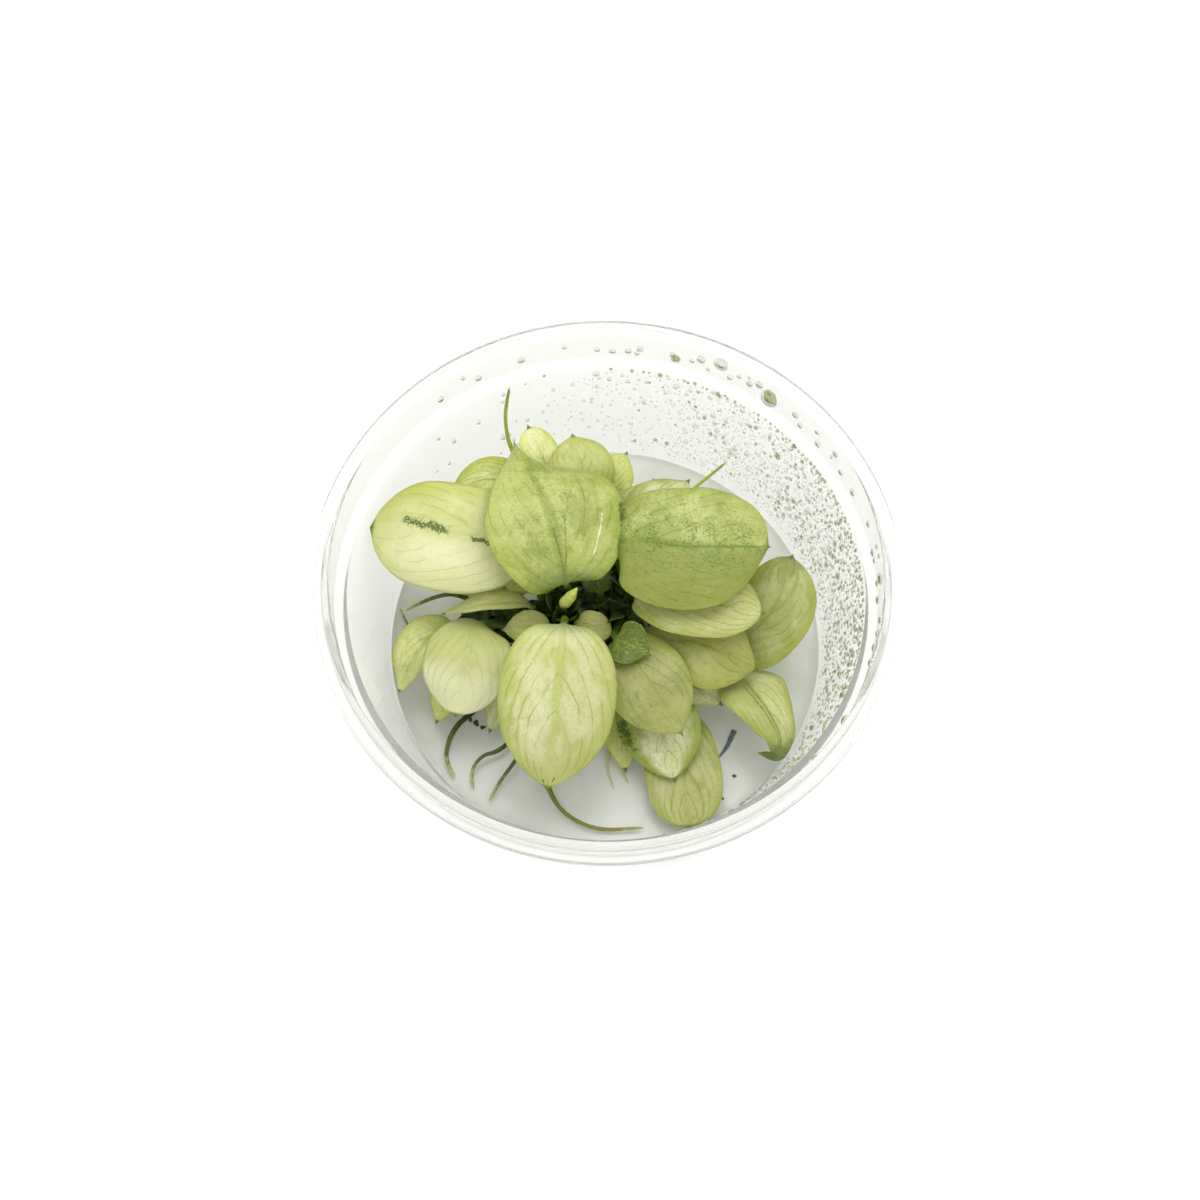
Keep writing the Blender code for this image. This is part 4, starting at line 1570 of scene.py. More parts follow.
def even(dense: np.ndarray, count: int) -> np.ndarray:
    """The line through the dense points, as count points at even distances along it."""
    length = travelled(dense)
    stations = np.linspace(0, length[-1], count)
    return np.stack([np.interp(stations, length, dense[:, axis]) for axis in range(3)], axis=1)


def smooth_path(points: Sequence, count: int) -> np.ndarray:
    """A smooth curve through the points, as count points at even distances along it."""
    points = np.array(points, float)
    knots = travelled(points)
    slopes = np.gradient(points, knots, axis=0)
    dense = []
    for i in range(len(points) - 1):
        span = knots[i + 1] - knots[i]
        for t in np.linspace(0, 1, CURVE_STEPS, endpoint=i == len(points) - 2):
            start = (1 + 2 * t) * (1 - t) ** 2 * points[i] + t * (1 - t) ** 2 * span * slopes[i]
            end = t * t * (3 - 2 * t) * points[i + 1] + t * t * (t - 1) * span * slopes[i + 1]
            dense.append(start + end)
    return even(np.array(dense), count)


def foot_of(foot: Foot) -> tuple[np.ndarray, np.ndarray]:
    """The point just off a stem's surface where a stalk or a root starts, and the way out from it."""
    stem = next(stem for stem in STEMS if stem.name == foot.stem)
    points = smooth_path(stem.points, STEM_ROWS)
    station = foot.along * (STEM_ROWS - 1)
    index = min(int(station), STEM_ROWS - 2)
    axis = unit(points[index + 1] - points[index])
    centre = points[index] + (points[index + 1] - points[index]) * (station - index)
    out = np.array(foot.out, float)
    out = unit(out - axis * np.dot(out, axis))
    return centre + out * (np.interp(station, range(STEM_ROWS), stem.girths(STEM_ROWS)) + GAP), out


def frames(line: np.ndarray, start: np.ndarray, middle: int, face: np.ndarray) -> tuple[np.ndarray, ...]:
    """Carries a leaf's axes along its line.

    Args:
        line: the points.
        start: the way along at the first point.
        middle: the point where face is known.
        face: the way the upper side looks there.

    Returns:
        The ways along, across and out at each point.
    """
    along = np.gradient(line, axis=0)
    along /= np.linalg.norm(along, axis=1)[:, None]
    along[0] = start
    out = np.zeros_like(line)
    out[middle] = unit(face - along[middle] * np.dot(face, along[middle]))
    for step, stop in ((1, len(line)), (-1, -1)):
        for i in range(middle + step, stop, step):
            before = out[i - step]
            out[i] = unit(before - along[i] * np.dot(before, along[i]))
    return along, np.cross(along, out), out


def swept(line: np.ndarray, radii: np.ndarray, sides: int, spiral: float = 0.0) -> bpy.types.Object:
    """Sweeps a round section along a line.

    Args:
        line: points in millimetres.
        radii: the radius at each.
        sides: faces round the section.
        spiral: the share of the radius that is lost on the way round, which leaves an edge.

    Returns:
        The object, with a UV map "along" of the share of the length, and millimetres along.
    """
    level = abs(unit(line[-1] - line[0])[2]) < 0.8
    side = np.array((0.3, 0.2, 1.0)) if level else np.array((0, 1.0, 0.1))
    along, across, out = frames(line, unit(line[1] - line[0]), len(line) // 2, side)
    angle = np.linspace(0, 2 * math.pi, sides, endpoint=False)
    factor = 1 - spiral * (angle / (2 * math.pi))
    wide = (radii[:, None] * factor)[:, :, None]
    points = line[:, None] + wide * (
        across[:, None] * np.cos(angle)[None, :, None] + out[:, None] * np.sin(angle)[None, :, None]
    )
    mapped = np.zeros((len(line), sides + 1, 2))
    mapped[:, :, 0] = np.linspace(0, 1, len(line))[:, None]
    mapped[:, :, 1] = travelled(line)[:, None]
    return tube(points, {"along": mapped})


@dataclass
class Cup:
    """The clear cup: a tapered bowl with a foot ring, a seat for its lid and a turned-down flange."""

    sides: int = 192
    flange_thickness: float = 1.0
    skirt_depth: float = 2.2
    skirt_width: float = 0.8
    lip_rise: float = 0.6
    foot_height: float = 0.6
    foot_width: float = 1.8
    foot_rise: float = 0.48

    def profile(self) -> list[tuple[float, float]]:
        """The cup's section, from the inside of the floor over the rim to the underside."""
        corner = FLOOR + FLOOR_ROUND
        edge = FLANGE_DIAMETER / 2
        top = CUP_HEIGHT - self.lip_rise
        under = top - self.flange_thickness
        foot = wall_radius(corner) - FLOOR_ROUND
        corners = (
            (HUB_RADIUS, FLOOR, 0),
            (20, FLOOR, 0),
            (wall_radius(corner) - 0.6, FLOOR, 2.4),
            (wall_radius(20), 20, 0),
            (STEP_RADIUS, STEP_Z, 0.5),
            (STEP_RADIUS + STEP_WIDTH, STEP_Z, 0.6),
            (INNER_RADIUS, CUP_HEIGHT - 0.3, 0),
            (INNER_RADIUS + 0.2, CUP_HEIGHT, 0.4),
            (INNER_RADIUS + WALL, CUP_HEIGHT, 0.4),
            (INNER_RADIUS + WALL + 0.3, top, 0.3),
            (edge, top, 0.6),
            (edge, top - self.skirt_depth, 0.2),
            (edge - self.skirt_width, top - self.skirt_depth, 0.2),
            (edge - self.skirt_width - 0.2, under, 0.4),
            (INNER_RADIUS + WALL, under, 0.4),
            (STEP_RADIUS + STEP_WIDTH + WALL, STEP_Z - WALL, 0.8),
            (STEP_RADIUS + WALL, STEP_Z - WALL - 0.6, 0.8),
            (wall_radius(20) + WALL, 20, 0),
            (wall_radius(corner) + WALL, corner, 1.2),
            (foot + 1.4, self.foot_height, 0.8),
            (foot, 0, 0.5),
            (foot - self.foot_width, 0, 0.5),
            (foot - self.foot_width - 0.4, self.foot_rise, 0.4),
            (20, self.foot_rise, 0),
            (HUB_RADIUS, self.foot_rise, 0),
        )
        return rounded(corners)

    def build(self) -> None:
        """Models the cup and dresses it."""
        piece = turned(self.profile(), self.sides)
        finish_piece(piece, "clear_cup", ClearPlastic().material(), Slot.CUP, "cup")


@dataclass
class Gel:
    """The block of agar that fills the cup's foot, with a meniscus at the wall."""

    sides: int = 128
    meniscus_rise: float = 0.6
    meniscus_width: float = 2.0

    def profile(self) -> list[tuple[float, float]]:
        """The gel's section, from the middle of its top down the wall to its underside."""
        corner = FLOOR + FLOOR_ROUND
        top = GEL_TOP + self.meniscus_rise
        shelf = wall_radius(GEL_TOP) - GAP
        corners = (
            (HUB_RADIUS, GEL_TOP, 0),
            (15, GEL_TOP, 0),
            (30, GEL_TOP, 0),
            (shelf - self.meniscus_width * 0.5, GEL_TOP, self.meniscus_width),
            (wall_radius(top) - GAP, top, 0.1),
            (wall_radius(corner) - GAP, corner, 0),
            (wall_radius(corner) - 0.8, FLOOR + GAP, 2.2),
            (20, FLOOR + GAP, 0),
            (HUB_RADIUS, FLOOR + GAP, 0),
        )
        return rounded(corners)

    def build(self) -> None:
        """Models the gel and dresses it."""
        piece = turned(self.profile(), self.sides)
        finish_piece(piece, "agar_gel", Agar().material(), Slot.GEL, "gel")


@dataclass(frozen=True)
class Curl:
    """Where a margin turns down: its side, the shares along where it starts and stops, and how deep.

    inner is the share of the half width from which it turns, and steep is how late it gets deep.
    """

    side: int
    start: float
    stop: float
    depth: float
    inner: float = 0.7
    steep: float = 1.3

    def drop(self, side: np.ndarray, share: np.ndarray) -> np.ndarray:
        """How far each place lies below the flat blade, in millimetres."""
        window = np.sin(math.pi * np.clip((share - self.start) / (self.stop - self.start), 0, 1))
        out = np.clip((side * self.side - self.inner) / (1 - self.inner), 0, 1)
        return self.depth * window * out**self.steep


@dataclass
class Foliage:
    """All the leaves, each with its stalk, and the rolled young leaf.

    Rows run along a leaf and the ring goes round it. The midrib swells the blade near its base and lies
    in a groove, and the margins ripple.
    """

    stalk_rows: int = 12
    blade_rows: int = 56
    ring: int = 56
    ripple: float = 0.25
    ripples: float = 2.6
    rib_rise: float = 0.25
    rib_spread: float = 0.12
    groove_depth: float = 0.12
    groove_spread: float = 0.07
    drip_length: float = 0.8
    drip_width: float = 0.8
    short_drips: tuple[str, ...] = ("leaf_left", "leaf_front_low", "leaf_far_left")
    curls: tuple[tuple[str, Curl], ...] = (
        ("leaf_back", Curl(1, 0.02, 0.6, 1.8, 0.72)),
        ("leaf_back", Curl(1, 0.55, 1.3, 3.2, 0.0)),
        ("leaf_back", Curl(-1, 0.6, 1.3, 1.8, 0.0)),
        ("leaf_left", Curl(-1, 0.1, 0.9, 1.0, 0.75)),
        ("leaf_hooked", Curl(1, 0.1, 0.9, 0.8, 0.5)),
    )
    bud_rows: int = 24
    bud_sides: int = 40
    bud_overlap: float = 0.16

    def line(self, leaf: Leaf) -> tuple[np.ndarray, np.ndarray, np.ndarray]:
        """A leaf's line.

        Returns:
            Points along the stalk, the midrib and the drip tip, each one's share of the blade, and the
            way off the stem.
        """
        start, out = foot_of(leaf.foot)
        dense = smooth_path([start, start + out * COLLAR, *leaf.stalk, *leaf.blade], 900)
        base = int(np.argmin(np.linalg.norm(dense - np.array(leaf.blade[0]), axis=1)))
        blade = dense[base:]
        drip = self.drip_length * (0.5 if leaf.name in self.short_drips else 1)
        end = 1 + drip / travelled(blade)[-1]
        blade = np.concatenate([blade, [blade[-1] + unit(blade[-1] - blade[-20]) * drip]])
        stalk = even(dense[: base + 1], self.stalk_rows + 1)
        line = np.concatenate([stalk, even(blade, self.blade_rows + 1)[1:]])
        below = np.linspace(-1, 0, self.stalk_rows + 1)
        above = np.linspace(0, end, self.blade_rows + 1)[1:]
        return line, np.concatenate([below, above]), out

    def half_width(self, leaf: Leaf, share: np.ndarray) -> np.ndarray:
        """Half width of the blade at each share of its length, with the narrow drip tip at its end."""
        rise = np.clip(1 - share / leaf.widest, 0, 1)
        fall = np.clip((share - leaf.widest) / (1 - leaf.widest), 0, 1)
        taper = (1 - fall**leaf.point) ** leaf.blunt
        blade = leaf.width / 2 * np.where(share < leaf.widest, np.sqrt(1 - rise * rise), taper)
        end = share.max()
        drip = self.drip_width * np.clip((end - share) / (2 * (end - 1)), 0, 1) * (share > 0.5)
        return np.hypot(blade, drip)

    def blade_lift(
        self, leaf: Leaf, index: int, side: np.ndarray, share: np.ndarray, reach: np.ndarray
    ) -> np.ndarray:
        """How far the blade's middle surface lies above its line: cupped, folded, rippled and curled.

        Args:
            leaf: the leaf.
            index: its number, which shifts its ripples.
            side: the places across it, -1 to 1.
            share: the places along it, 0 to 1.
            reach: how far across each place lies, in millimetres.

        Returns:
            The lift of an open blade, in millimetres.
        """
        lift = np.abs(reach) * (leaf.cup * np.abs(side) + leaf.fold)
        wave = np.sin(2 * math.pi * (self.ripples * share + 0.17 * index) + np.where(side > 0, 0, 1.7))
        return lift + self.ripple * leaf.width / 20 * side**2 * wave

    def model(self, leaf: Leaf, index: int) -> bpy.types.Object:
        """Models one leaf."""
        line, shares, start = self.line(leaf)
        middle = self.stalk_rows + self.blade_rows // 2
        along, across, out = frames(line, start, middle, np.array(leaf.face, float))
        angle = np.linspace(0, 2 * math.pi, self.ring, endpoint=False)
        side, depth = np.cos(angle)[None, :], np.sin(angle)[None, :]
        wide = self.half_width(leaf, np.clip(shares, 0, None)[:, None])
        share = np.clip(shares, 0, 1)[:, None]
        stalk = np.clip(-shares, 0, 1)[:, None]
        half = np.maximum(wide, STALK_RADIUS * (share < 0.5))
        opened = np.minimum(1, wide / (leaf.width / 4))
        swell = self.rib_rise * np.exp(-((side / self.rib_spread) ** 2)) * (1 - share)
        thin = BLADE_HALF_THICKNESS * (1 - 0.6 * np.abs(side) ** 3) + swell
        thick = STALK_RADIUS + (thin - STALK_RADIUS) * np.where(share < 0.5, opened, 1)
        skew = leaf.skew * share**2 * opened
        reach = side * half * (1 + np.where(side > 0, skew, -skew))
        lift = opened * self.blade_lift(leaf, index, side, share, reach)
        for name, curl in self.curls:
            if name == leaf.name:
                lift = lift - curl.drop(side, share)
        groove = self.groove_depth * np.exp(-((side / self.groove_spread) ** 2)) * opened
        groove = groove * (1 - share) * (depth > 0)
        forth = leaf.slant * reach * share**2
        forth = forth - leaf.lobe * opened * side**2 * np.clip(1 - share / leaf.widest, 0, 1)
        round_off = STALK_RADIUS + (STALK_FOOT_RADIUS - STALK_RADIUS) * stalk**2
        on_stalk = shares[:, None] < 0
        reach = np.where(on_stalk, round_off * side, reach)
        height = np.where(on_stalk, round_off * depth, thick * depth + lift - groove)
        forth = np.where(on_stalk, 0, forth)
        tip = (np.arange(len(line)) == len(line) - 1)[:, None]
        reach, height, forth = (np.where(tip, 0, value) for value in (reach, height, forth))
        points = (
            line[:, None]
            + across[:, None] * reach[:, :, None]
            + out[:, None] * height[:, :, None]
            + along[:, None] * forth[:, :, None]
        )
        mapped = np.zeros((len(line), self.ring + 1, 2))
        mapped[:, :, 0] = np.append(side[0], side[0, 0])
        mapped[:, :, 1] = shares[:, None]
        seed = np.zeros_like(mapped) + (5 + 2.7 * index, 1.9 * index)
        return tube(points, {"leaf": mapped, "seed": seed})

    def build(self) -> None:
        """Models and dresses every leaf."""
        finishes = dict.fromkeys([*TONES.values(), *OWN_FINISHES.values(), LIME_YOUNG])
        materials = {finish: finish.material() for finish in finishes}
        for index, leaf in enumerate(LEAVES):
            material = materials[OWN_FINISHES.get(leaf.name, TONES[leaf.colour])]
            finish_piece(self.model(leaf, index), leaf.name + "_blade", material, leaf.colour, leaf.name)
        self.roll(materials[LIME_YOUNG])

    def roll(self, material: bpy.types.Material) -> None:
        """Models the young leaf, still rolled, with the margin that overlaps it."""
        line = smooth_path(YOUNG_LEAF.points, self.bud_rows)
        piece = swept(line, YOUNG_LEAF.girths(self.bud_rows), self.bud_sides, self.bud_overlap)
        layer = piece.data.uv_layers["along"]
        layer.name = "leaf"
        values = np.zeros(len(piece.data.loops) * 2)
        layer.uv.foreach_get("vector", values)
        share = values[0::2].copy()
        values[0::2], values[1::2] = 0.3, 0.2 + 0.7 * share
        layer.uv.foreach_set("vector", values)
        piece.data.uv_layers.new(name="seed")
        finish_piece(piece, "rolled_leaf", material, Slot.YELLOW, YOUNG_LEAF.name)


@dataclass
class Stems:
    """The rhizome and its shoots, ringed by scars, with a round end."""

    rows: int = 60
    sides: int = 28
    scar_rise: float = 0.05
    end_share: float = 0.06
    end_rise: float = 0.4

    def build(self) -> None:
        """Models and dresses every stem."""
        material = StemFinish().material()
        share = np.linspace(0, 1, self.rows)
        past = ((share - 1 + self.end_share) / self.end_share).clip(0)
        end = np.sqrt(np.clip(1 - past**2, 0.02, 1))
        for stem in STEMS:
            points = smooth_path(stem.points, STEM_ROWS)
            radii = stem.girths(STEM_ROWS)
            on = unit(points[-1] - points[-2])
            line = smooth_path([*points, points[-1] + on * radii[-1] * self.end_rise], self.rows)
            girth = np.interp(share, np.linspace(0, 1, STEM_ROWS), radii) * end
            turns = share * travelled(line)[-1] / SCAR_SPACING
            piece = swept(line, girth * (1 + self.scar_rise * np.cos(2 * math.pi * turns)), self.sides)
            finish_piece(piece, stem.name + "_skin", material, Slot.STEM, stem.name)


@dataclass
class Roots:
    """The roots over the gel, and three short ones inside it."""

    rows: int = 70
    sides: int = 16
    foot_girth: float = 1.3
    tip_girth: float = 0.5
    uneven: float = 0.05
    tip_share: float = 0.03
    sunken_girth: float = 0.8
    pale: tuple[tuple[Point, ...], ...] = (
        ((1.5, -20.0, 13.4), (0.6, -24.5, 13.45), (1.9, -29.5, 13.35)),
        ((4.0, -22.0, 13.4), (3.4, -25.5, 13.45), (4.6, -28.5, 13.35)),
    )
    grey: tuple[tuple[Point, ...], ...] = (
        ((24.3, -17.6, 13.35), (22.6, -21.2, 13.4), (20.6, -23.8, 13.3)),
    )

    def limb(self, line: np.ndarray, girth: float, phase: float) -> bpy.types.Object:
        """Models one root, a little uneven, with a round tip.

        Args:
            line: its axis.
            girth: its thickness beside the plain root's.
            phase: where its swellings start.

        Returns:
            The object.
        """
        share = np.linspace(0, 1, len(line))
        radii = ROOT_RADIUS * girth * (self.foot_girth - (self.foot_girth - self.tip_girth) * share)
        tip = np.sqrt(np.clip((1 - share) / self.tip_share, 0.01, 1))
        return swept(line, radii * (1 + self.uneven * np.sin(23 * share + phase)) * tip, self.sides)

    def build(self) -> None:
        """Models and dresses every root."""
        brown = RootFinish("root_skin").material()
        lime = RootFinish("root_lime_skin", base="#a9b443", middle="#b5bf4c", tip="#8f9c33").material()
        olive = RootFinish("root_olive_skin", base="#74742a", middle="#85843a", tip="#aaa85e").material()
        chosen = {"root_rising": lime, "root_back_right": lime, "root_front_long": olive}
        for index, root in enumerate(ROOTS):
            start, out = foot_of(root.foot)
            points = [start, start + out * COLLAR, *root.points]
            coarse = smooth_path(points, ROOT_ROWS + 2 * len(root.points))
            piece = self.limb(smooth_path(coarse, self.rows), root.girth, index)
            finish_piece(piece, root.name + "_skin", chosen.get(root.name, brown), Slot.ROOT, root.name)
        pale = RootFinish("root_pale_skin", base="#d6d8ae", middle="#d3d5a8", tip="#dfe0bc").material()
        grey = RootFinish("root_grey_skin", base="#6d7a80", middle="#7b878b", tip="#8d979a").material()
        sunken = [(points, pale) for points in self.pale] + [(points, grey) for points in self.grey]
        for index, (points, material) in enumerate(sunken):
            piece = self.limb(smooth_path(points, self.rows // 2), self.sunken_girth, index)
            finish_piece(piece, f"sunken_root_{index}", material, Slot.ROOT)


def stamped(
    template: bpy.types.Object, places: np.ndarray, axes: np.ndarray, sizes: np.ndarray
) -> bpy.types.Object:
    """Joins many copies of a small shape into one mesh, and removes the first one.

    Args:
        template: the shape, with its foot at the origin and its top along +Z, one millimetre in radius.
        places: where each copy stands, in millimetres.
        axes: each copy's own X, Y and Z.
        sizes: each copy's size along its X, Y and Z.

    Returns:
        The joined object, at the origin.
    """
    shape = np.array([vertex.co for vertex in template.data.vertices]) / MM
    faces = [tuple(face.vertices) for face in template.data.polygons]
    scaled = shape[None] * sizes[:, None, :]
    points = places[:, None, :] + np.einsum("nvk,nkj->nvj", scaled, axes)
    firsts = range(0, len(places) * len(shape), len(shape))
    every = [tuple(corner + first for corner in face) for first in firsts for face in faces]
    mesh = bpy.data.meshes.new("stamped")
    mesh.from_pydata((points.reshape(-1, 3) * MM).tolist(), [], every)
    mesh.shade_smooth()
    bpy.data.objects.remove(template)
    piece = bpy.data.objects.new("stamped", mesh)
    bpy.context.scene.collection.objects.link(piece)
    return piece


@dataclass
class Sheaths:
    """The dark scale leaves, which also fill the crown's deep shade as painted shade: in a spiral up each
    stem, and three round the foot of each stalk.
    """

    spacing: float = 1.1
    length: float = 6.5
    hug: float = 0.35
    golden_turn: float = 2.4
    sleeve_length: float = 8.0
    sleeve_radius: float = 1.7
    sleeve_turns: tuple[float, ...] = (0.4, 2.6, 4.7)
    scale_rows: int = 8
    half_wrap: float = 1.25
    flare: float = 0.8
    thickness: float = 0.12

    def scale(self) -> bpy.types.Object:
        """One scale, wrapped round +Z with its foot at the origin and its tip one millimetre up."""
        deselect()
        bpy.ops.mesh.primitive_grid_add(
            x_subdivisions=self.scale_rows, y_subdivisions=self.scale_rows, size=2
        )
        piece = bpy.context.object
        for vertex in piece.data.vertices:
            rise = (vertex.co.y + 1) / 2
            turn = vertex.co.x * self.half_wrap * (1 - rise**2.2)
            flare = 1 + self.flare * rise**2
            vertex.co = Vector((math.sin(turn) * flare, math.cos(turn) * flare, rise)) * MM
        wall = piece.modifiers.new("wall", "SOLIDIFY")
        wall.thickness = self.thickness * MM
        wall.offset = 1
        bpy.ops.object.modifier_apply(modifier="wall")
        return piece

    def build(self) -> None:
        """Models and dresses the scales."""
        places, axes, sizes = [], [], []
        turn = 0.0
        for stem in STEMS:
            count = max(3, int(travelled(np.array(stem.points))[-1] / self.spacing))
            line = smooth_path(stem.points, count)
            radii = stem.girths(count) + self.hug
            start = unit(line[1] - line[0])
            along, across, out = frames(line, start, count // 2, np.array((0.2, 0.1, 1.0)))
            for i in range(count):
                turn += self.golden_turn
                off = across[i] * math.cos(turn) + out[i] * math.sin(turn)
                places.append(line[i])
                axes.append((np.cross(off, along[i]), off, along[i]))
                sizes.append((radii[i], radii[i], self.length * (0.7 + 0.3 * math.sin(3 * turn))))
        for leaf in LEAVES:
            start, _ = foot_of(leaf.foot)
            reach = np.array((*leaf.stalk, leaf.blade[0])[0]) - start
            along = unit(reach)
            length = min(self.sleeve_length, 0.6 * float(np.linalg.norm(reach)) + 1)
            for turn in self.sleeve_turns:
                off = unit(np.cross(along, (math.cos(turn), math.sin(turn), 0.3)))
                places.append(start)
                axes.append((np.cross(off, along), off, along))
                sizes.append((self.sleeve_radius, self.sleeve_radius, length * (1.1 - 0.12 * turn)))
        piece = stamped(self.scale(), np.array(places), np.array(axes), np.array(sizes))
        piece.data.uv_layers.new(name="along")
        # Very dark green, so that the scales also stand for the crown's shade: painted shade.
        finish = StemFinish("scale_leaf_skin_painted_shade", skin="#425a12", shade="#1d2c06", scar="#4f6120")
        finish_piece(piece, "scale_leaves", finish.material(), Slot.STEM)


@dataclass(frozen=True)
class Drops:
    """One layer of drops: how many are tried, between which heights, and their middle radius.

    They are thickest at the angle middle and spread to either side of it by reach, both in degrees.
    segments and rings say how round a drop is, and green that its water is tinted green as a painted
    refraction of the leaves.
    """

    name: str
    tries: int
    low: float
    high: float
    size: float
    middle: float = 38
    reach: float = 42
    segments: int = 12
    rings: int = 6
    green: bool = False

    def cap(self) -> bpy.types.Object:
        """One drop: a sphere cut at its middle and closed, flat side down."""
        deselect()
        bpy.ops.mesh.primitive_uv_sphere_add(segments=self.segments, ring_count=self.rings, radius=MM)
        bpy.ops.object.mode_set(mode="EDIT")
        bpy.ops.mesh.select_all(action="SELECT")
        bpy.ops.mesh.bisect(plane_co=(0, 0, 0), plane_no=(0, 0, 1), use_fill=True, clear_inner=True)
        bpy.ops.mesh.select_all(action="SELECT")
        bpy.ops.mesh.normals_make_consistent(inside=False)
        bpy.ops.object.mode_set(mode="OBJECT")
        return bpy.context.object


@dataclass
class Condensation:
    """Drops of water on the inner wall: a dense fine mist at the back right, and large ones at the lip."""

    seed: int = 7
    lift: float = 0.04
    room: float = 0.95
    uneven: float = 0.35
    tall: float = 1.12
    flat: float = 0.6
    layers: tuple[Drops, ...] = (
        Drops("mist_drops", 3400, 15.5, STEP_Z - 1.0, 0.19, 30, 28, segments=8, rings=4),
        Drops("wall_drops", 260, 20.0, STEP_Z - 1.0, 0.4),
        Drops("green_drops", 760, 17.0, STEP_Z - 0.8, 0.33, 8, 26, green=True),
        Drops("seam_drops", 260, STEP_Z - 0.9, STEP_Z - 0.4, 0.32, 18, 30, green=True),
        Drops("rim_drops", 60, STEP_Z + 2.0, CUP_HEIGHT - 2.0, 0.75, segments=20, rings=8),
    )
    large_places: tuple[Point, ...] = ((52.0, STEP_Z + 3.2, 2.1), (75.0, STEP_Z + 2.5, 1.1))

    def on_wall(self, angles: np.ndarray, heights: np.ndarray) -> tuple[np.ndarray, np.ndarray]:
        """Where drops sit on the inner wall, and their axes: round the wall, up it, and off it.

        Args:
            angles: each drop's angle from +X, in radians.
            heights: each drop's height.

        Returns:
            The places in millimetres, and the three axes of each.
        """
        lower = heights < STEP_Z
        draft = SEAT_DRAFT / STEP_DEPTH
        seat = STEP_RADIUS + STEP_WIDTH + (heights - STEP_Z) * draft
        radius = np.where(lower, wall_radius(heights), seat) - self.lift
        slope = np.where(lower, WALL_SLOPE, draft)
        cos, sin = np.cos(angles), np.sin(angles)
        tall = np.sqrt(1 + slope * slope)
        round_wall = np.stack([-sin, cos, np.zeros_like(cos)], axis=1)
        up_wall = np.stack([slope * cos, slope * sin, np.ones_like(cos)], axis=1) / tall[:, None]
        off_wall = np.stack([-cos, -sin, slope], axis=1) / tall[:, None]
        places = np.stack([radius * cos, radius * sin, heights], axis=1)
        return places, np.stack([round_wall, up_wall, off_wall], axis=1)

    def spread(self, random: np.random.Generator, drops: Drops) -> tuple[np.ndarray, ...]:
        """Scatters drops over a band of the wall, with none too close.

        Args:
            random: the seeded source of numbers.
            drops: the layer.

        Returns:
            The angles, heights and radii of those that fit.
        """
        angles = np.radians(random.normal(drops.middle, drops.reach, drops.tries))
        heights = random.uniform(drops.low, drops.high, drops.tries)
        radii = drops.size * np.exp(random.normal(0, self.uneven, drops.tries))
        keep: list[int] = []
        grid: dict[tuple[int, int], list[int]] = {}
        for i in range(drops.tries):
            x, y = angles[i] * STEP_RADIUS, heights[i]
            column, row = int(x // 2), int(y // 2)
            cells = [(column + a, row + b) for a in (-1, 0, 1) for b in (-1, 0, 1)]
            near = np.array([j for cell in cells for j in grid.get(cell, [])], int)
            off = np.hypot(x - angles[near] * STEP_RADIUS, y - heights[near])
            if (off > self.room * (radii[i] + radii[near])).all():
                grid.setdefault((column, row), []).append(i)
                keep.append(i)
        return angles[keep], heights[keep], radii[keep]

    def layer(
        self, drops: Drops, scattered: Sequence[np.ndarray], material: bpy.types.Material
    ) -> None:
        """Models one layer of drops, all joined.

        Args:
            drops: the layer.
            scattered: the angles, heights and radii of its drops.
            material: its finish.
        """
        angles, heights, radii = scattered
        places, axes = self.on_wall(angles, heights)
        sizes = np.stack([radii, radii * self.tall, radii * self.flat], axis=1)
        finish_piece(stamped(drops.cap(), places, axes, sizes), drops.name, material, Slot.CUP)

    def build(self) -> None:
        """Models and dresses the drops."""
        random = np.random.default_rng(self.seed)
        clear = Water().material()
        # Water tinted green for the drops in front of the leaves: a painted refraction of them.
        green = Water("condensed_water_painted_leaf_green", "#bdc294").material()
        for drops in self.layers:
            self.layer(drops, self.spread(random, drops), green if drops.green else clear)
        angles, heights, radii = np.array(self.large_places).T
        large = replace(self.layers[-1], name="large_drops")
        self.layer(large, (np.radians(angles), heights, radii), green)


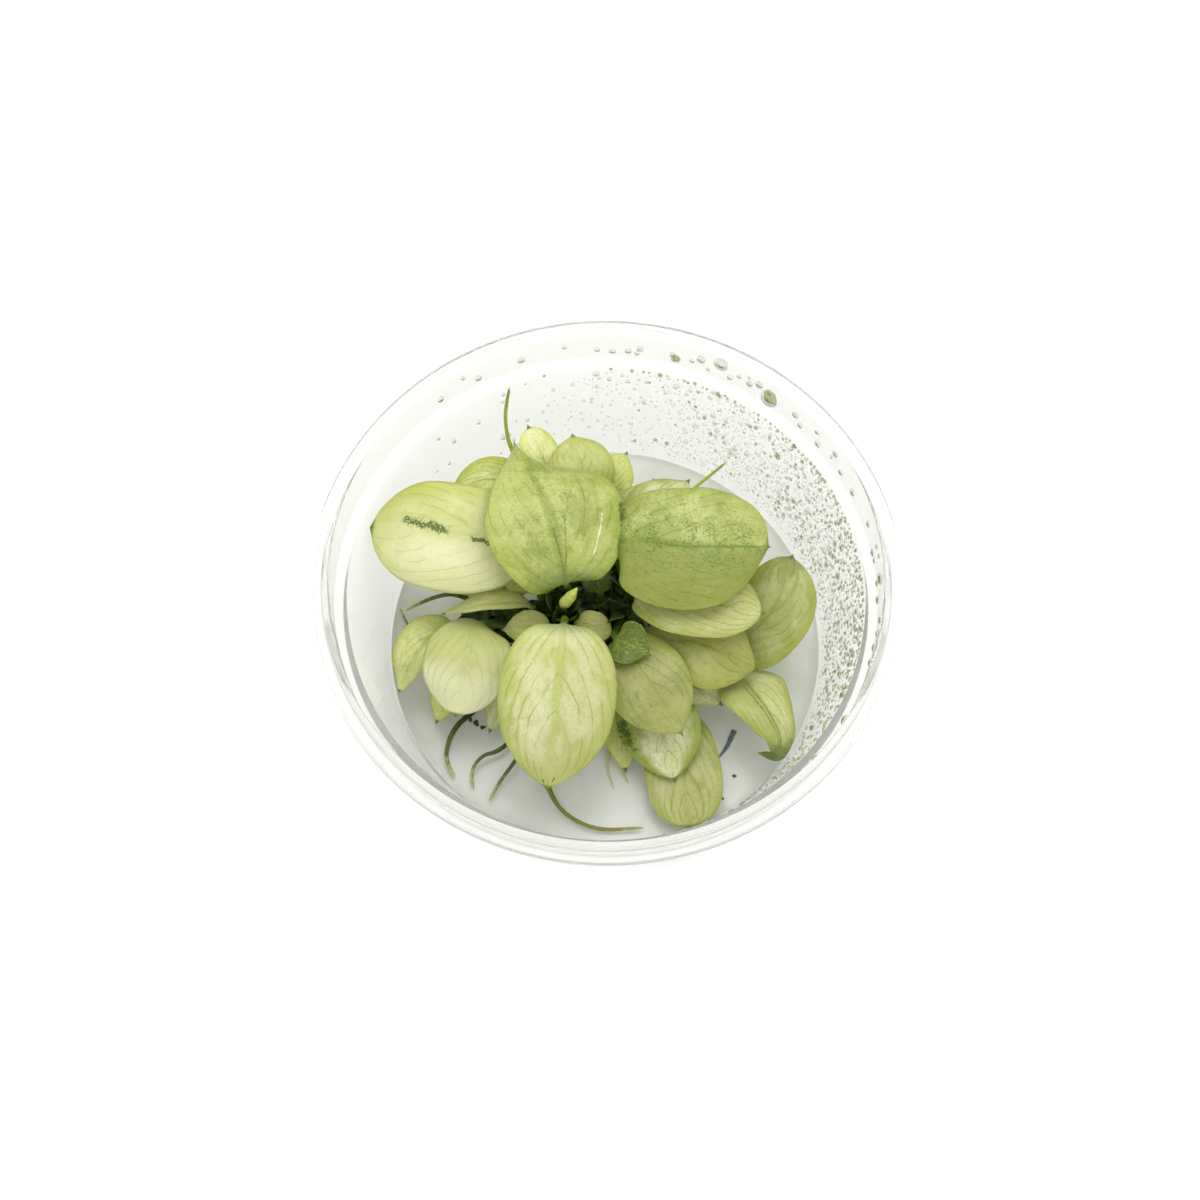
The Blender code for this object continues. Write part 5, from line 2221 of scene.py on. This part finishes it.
@dataclass
class Crumbs:
    """A few brown crumbs of old root on the gel: the place and the size of each, and how they are made."""

    spots: tuple[Point, ...] = (
        (24.2, -26.5, 0.4),
        (22.0, -30.9, 0.3),
        (23.4, -32.9, 0.3),
        (11.6, -27.6, 0.4),
        (-23.9, -16.8, 0.7),
        (-22.6, -17.6, 0.55),
        (-25.0, -16.1, 0.45),
    )
    rugged: float = 0.28
    waves: Point = (2.9, 3.7, 2.1)
    shape: Point = (1.0, 0.7, 0.45)
    turn: float = 1.3
    sunk: float = 0.25

    def grit(self) -> bpy.types.Object:
        """One crumb, rugged, one millimetre in radius."""
        deselect()
        bpy.ops.mesh.primitive_ico_sphere_add(subdivisions=2, radius=MM)
        piece = bpy.context.object
        for vertex in piece.data.vertices:
            x, y, z = (wave * place / MM for wave, place in zip(self.waves, vertex.co))
            vertex.co *= 1 + self.rugged * math.sin(x) * math.cos(y + z)
        return piece

    def build(self) -> None:
        """Models and dresses the crumbs."""
        places = np.array([(x, y, GEL_TOP + self.sunk * size) for x, y, size in self.spots])
        turn = np.arange(len(self.spots)) * self.turn
        zero, one = np.zeros_like(turn), np.ones_like(turn)
        rows = (
            (np.cos(turn), np.sin(turn), zero),
            (-np.sin(turn), np.cos(turn), zero),
            (zero, zero, one),
        )
        axes = np.stack([np.stack(row, axis=1) for row in rows], axis=1)
        sizes = np.array([np.multiply(self.shape, size) for _, _, size in self.spots])
        piece = stamped(self.grit(), places, axes, sizes)
        layer = piece.data.uv_layers.new(name="along")
        layer.uv.foreach_set("vector", np.full(len(piece.data.loops) * 2, 0.4))
        finish = RootFinish("old_root_bark", base="#5b4a2c", middle="#7b6a44", tip="#8c7c55")
        finish_piece(piece, "root_crumbs", finish.material(), Slot.ROOT)


@dataclass
class Studio:
    """The white floor, the soft light, and the camera at the photograph's place."""

    elevation: float = 66.06
    roll: float = 0.74
    distance: float = 350.0
    target: Point = (-1.08, -5.2, 45.0)
    lens: float = 60.06
    sensor: float = 36.0
    nearest: float = 10.0
    lamp_place: Point = (60, 150, 430)
    lamp_aim: Point = (0, 0, 25)
    lamp_size: float = 340.0
    lamp_power: float = 0.7
    world_light: float = 0.97
    floor_side: float = 4000.0
    floor_colour: str = "#f4f4f4"
    floor_glow: float = 0.27

    def camera(self) -> None:
        """Puts the camera where the photograph was taken from."""
        tilt, roll = math.radians(self.elevation), math.radians(self.roll)
        back = Vector((0, -math.cos(tilt), math.sin(tilt)))
        right = Vector((1, 0, 0))
        up = back.cross(right)
        turned_right = right * math.cos(roll) + up * math.sin(roll)
        turned_up = up * math.cos(roll) - right * math.sin(roll)
        data = bpy.data.cameras.new("camera")
        data.lens = self.lens
        data.sensor_width = self.sensor
        data.clip_start = self.nearest * MM
        camera = bpy.data.objects.new("camera", data)
        axes = Matrix((turned_right, turned_up, back)).transposed().to_4x4()
        place = (Vector(self.target) + back * self.distance) * MM
        camera.matrix_world = Matrix.Translation(place) @ axes
        bpy.context.scene.collection.objects.link(camera)
        bpy.context.scene.camera = camera

    def world(self) -> None:
        """A white world, softer for the light it gives than for the eye."""
        world = bpy.data.worlds.new("studio")
        bpy.context.scene.world = world
        world.use_nodes = True
        nodes = Nodes(world.node_tree)
        background = world.node_tree.nodes["Background"]
        nodes.fill(background.inputs["Color"], "#ffffff")
        strength = nodes.add(Node.RANGE, nodes.seen(), self.world_light, 1.0)
        nodes.fill(background.inputs["Strength"], strength)

    def lamp(self) -> None:
        """Hangs a soft square lamp over the cup."""
        data = bpy.data.lights.new("key", "AREA")
        data.size = self.lamp_size * MM
        data.energy = self.lamp_power
        lamp = bpy.data.objects.new("key", data)
        lamp.location = Vector(self.lamp_place) * MM
        back = Vector(self.lamp_place) - Vector(self.lamp_aim)
        lamp.rotation_euler = back.to_track_quat("Z", "Y").to_euler()
        bpy.context.scene.collection.objects.link(lamp)

    def floor(self) -> None:
        """A white table top that stays white to the eye and keeps the cup's shadow."""
        deselect()
        bpy.ops.mesh.primitive_plane_add(size=self.floor_side * MM)
        floor = bpy.context.object
        floor.name = "floor"
        recipe = Recipe("white_table", 0.9, 1.45)
        recipe.dress(
            {
                "Base Color": self.floor_colour,
                "Specular IOR Level": 0.0,
                "Emission Color": "#ffffff",
                "Emission Strength": recipe.add(Node.MULTIPLY, recipe.seen(), self.floor_glow),
            }
        )
        floor.data.materials.append(recipe.material)

    def build(self) -> None:
        """Sets the whole studio up."""
        bpy.context.scene.view_settings.view_transform = "Standard"
        self.camera()
        self.world()
        self.lamp()
        self.floor()


def main() -> None:
    """Builds the studio and every piece."""
    Studio().build()
    for part in (Cup(), Gel(), Stems(), Sheaths(), Foliage(), Roots(), Condensation(), Crumbs()):
        part.build()
        log.info("%s done", type(part).__name__)


if __name__ == "__main__":
    main()
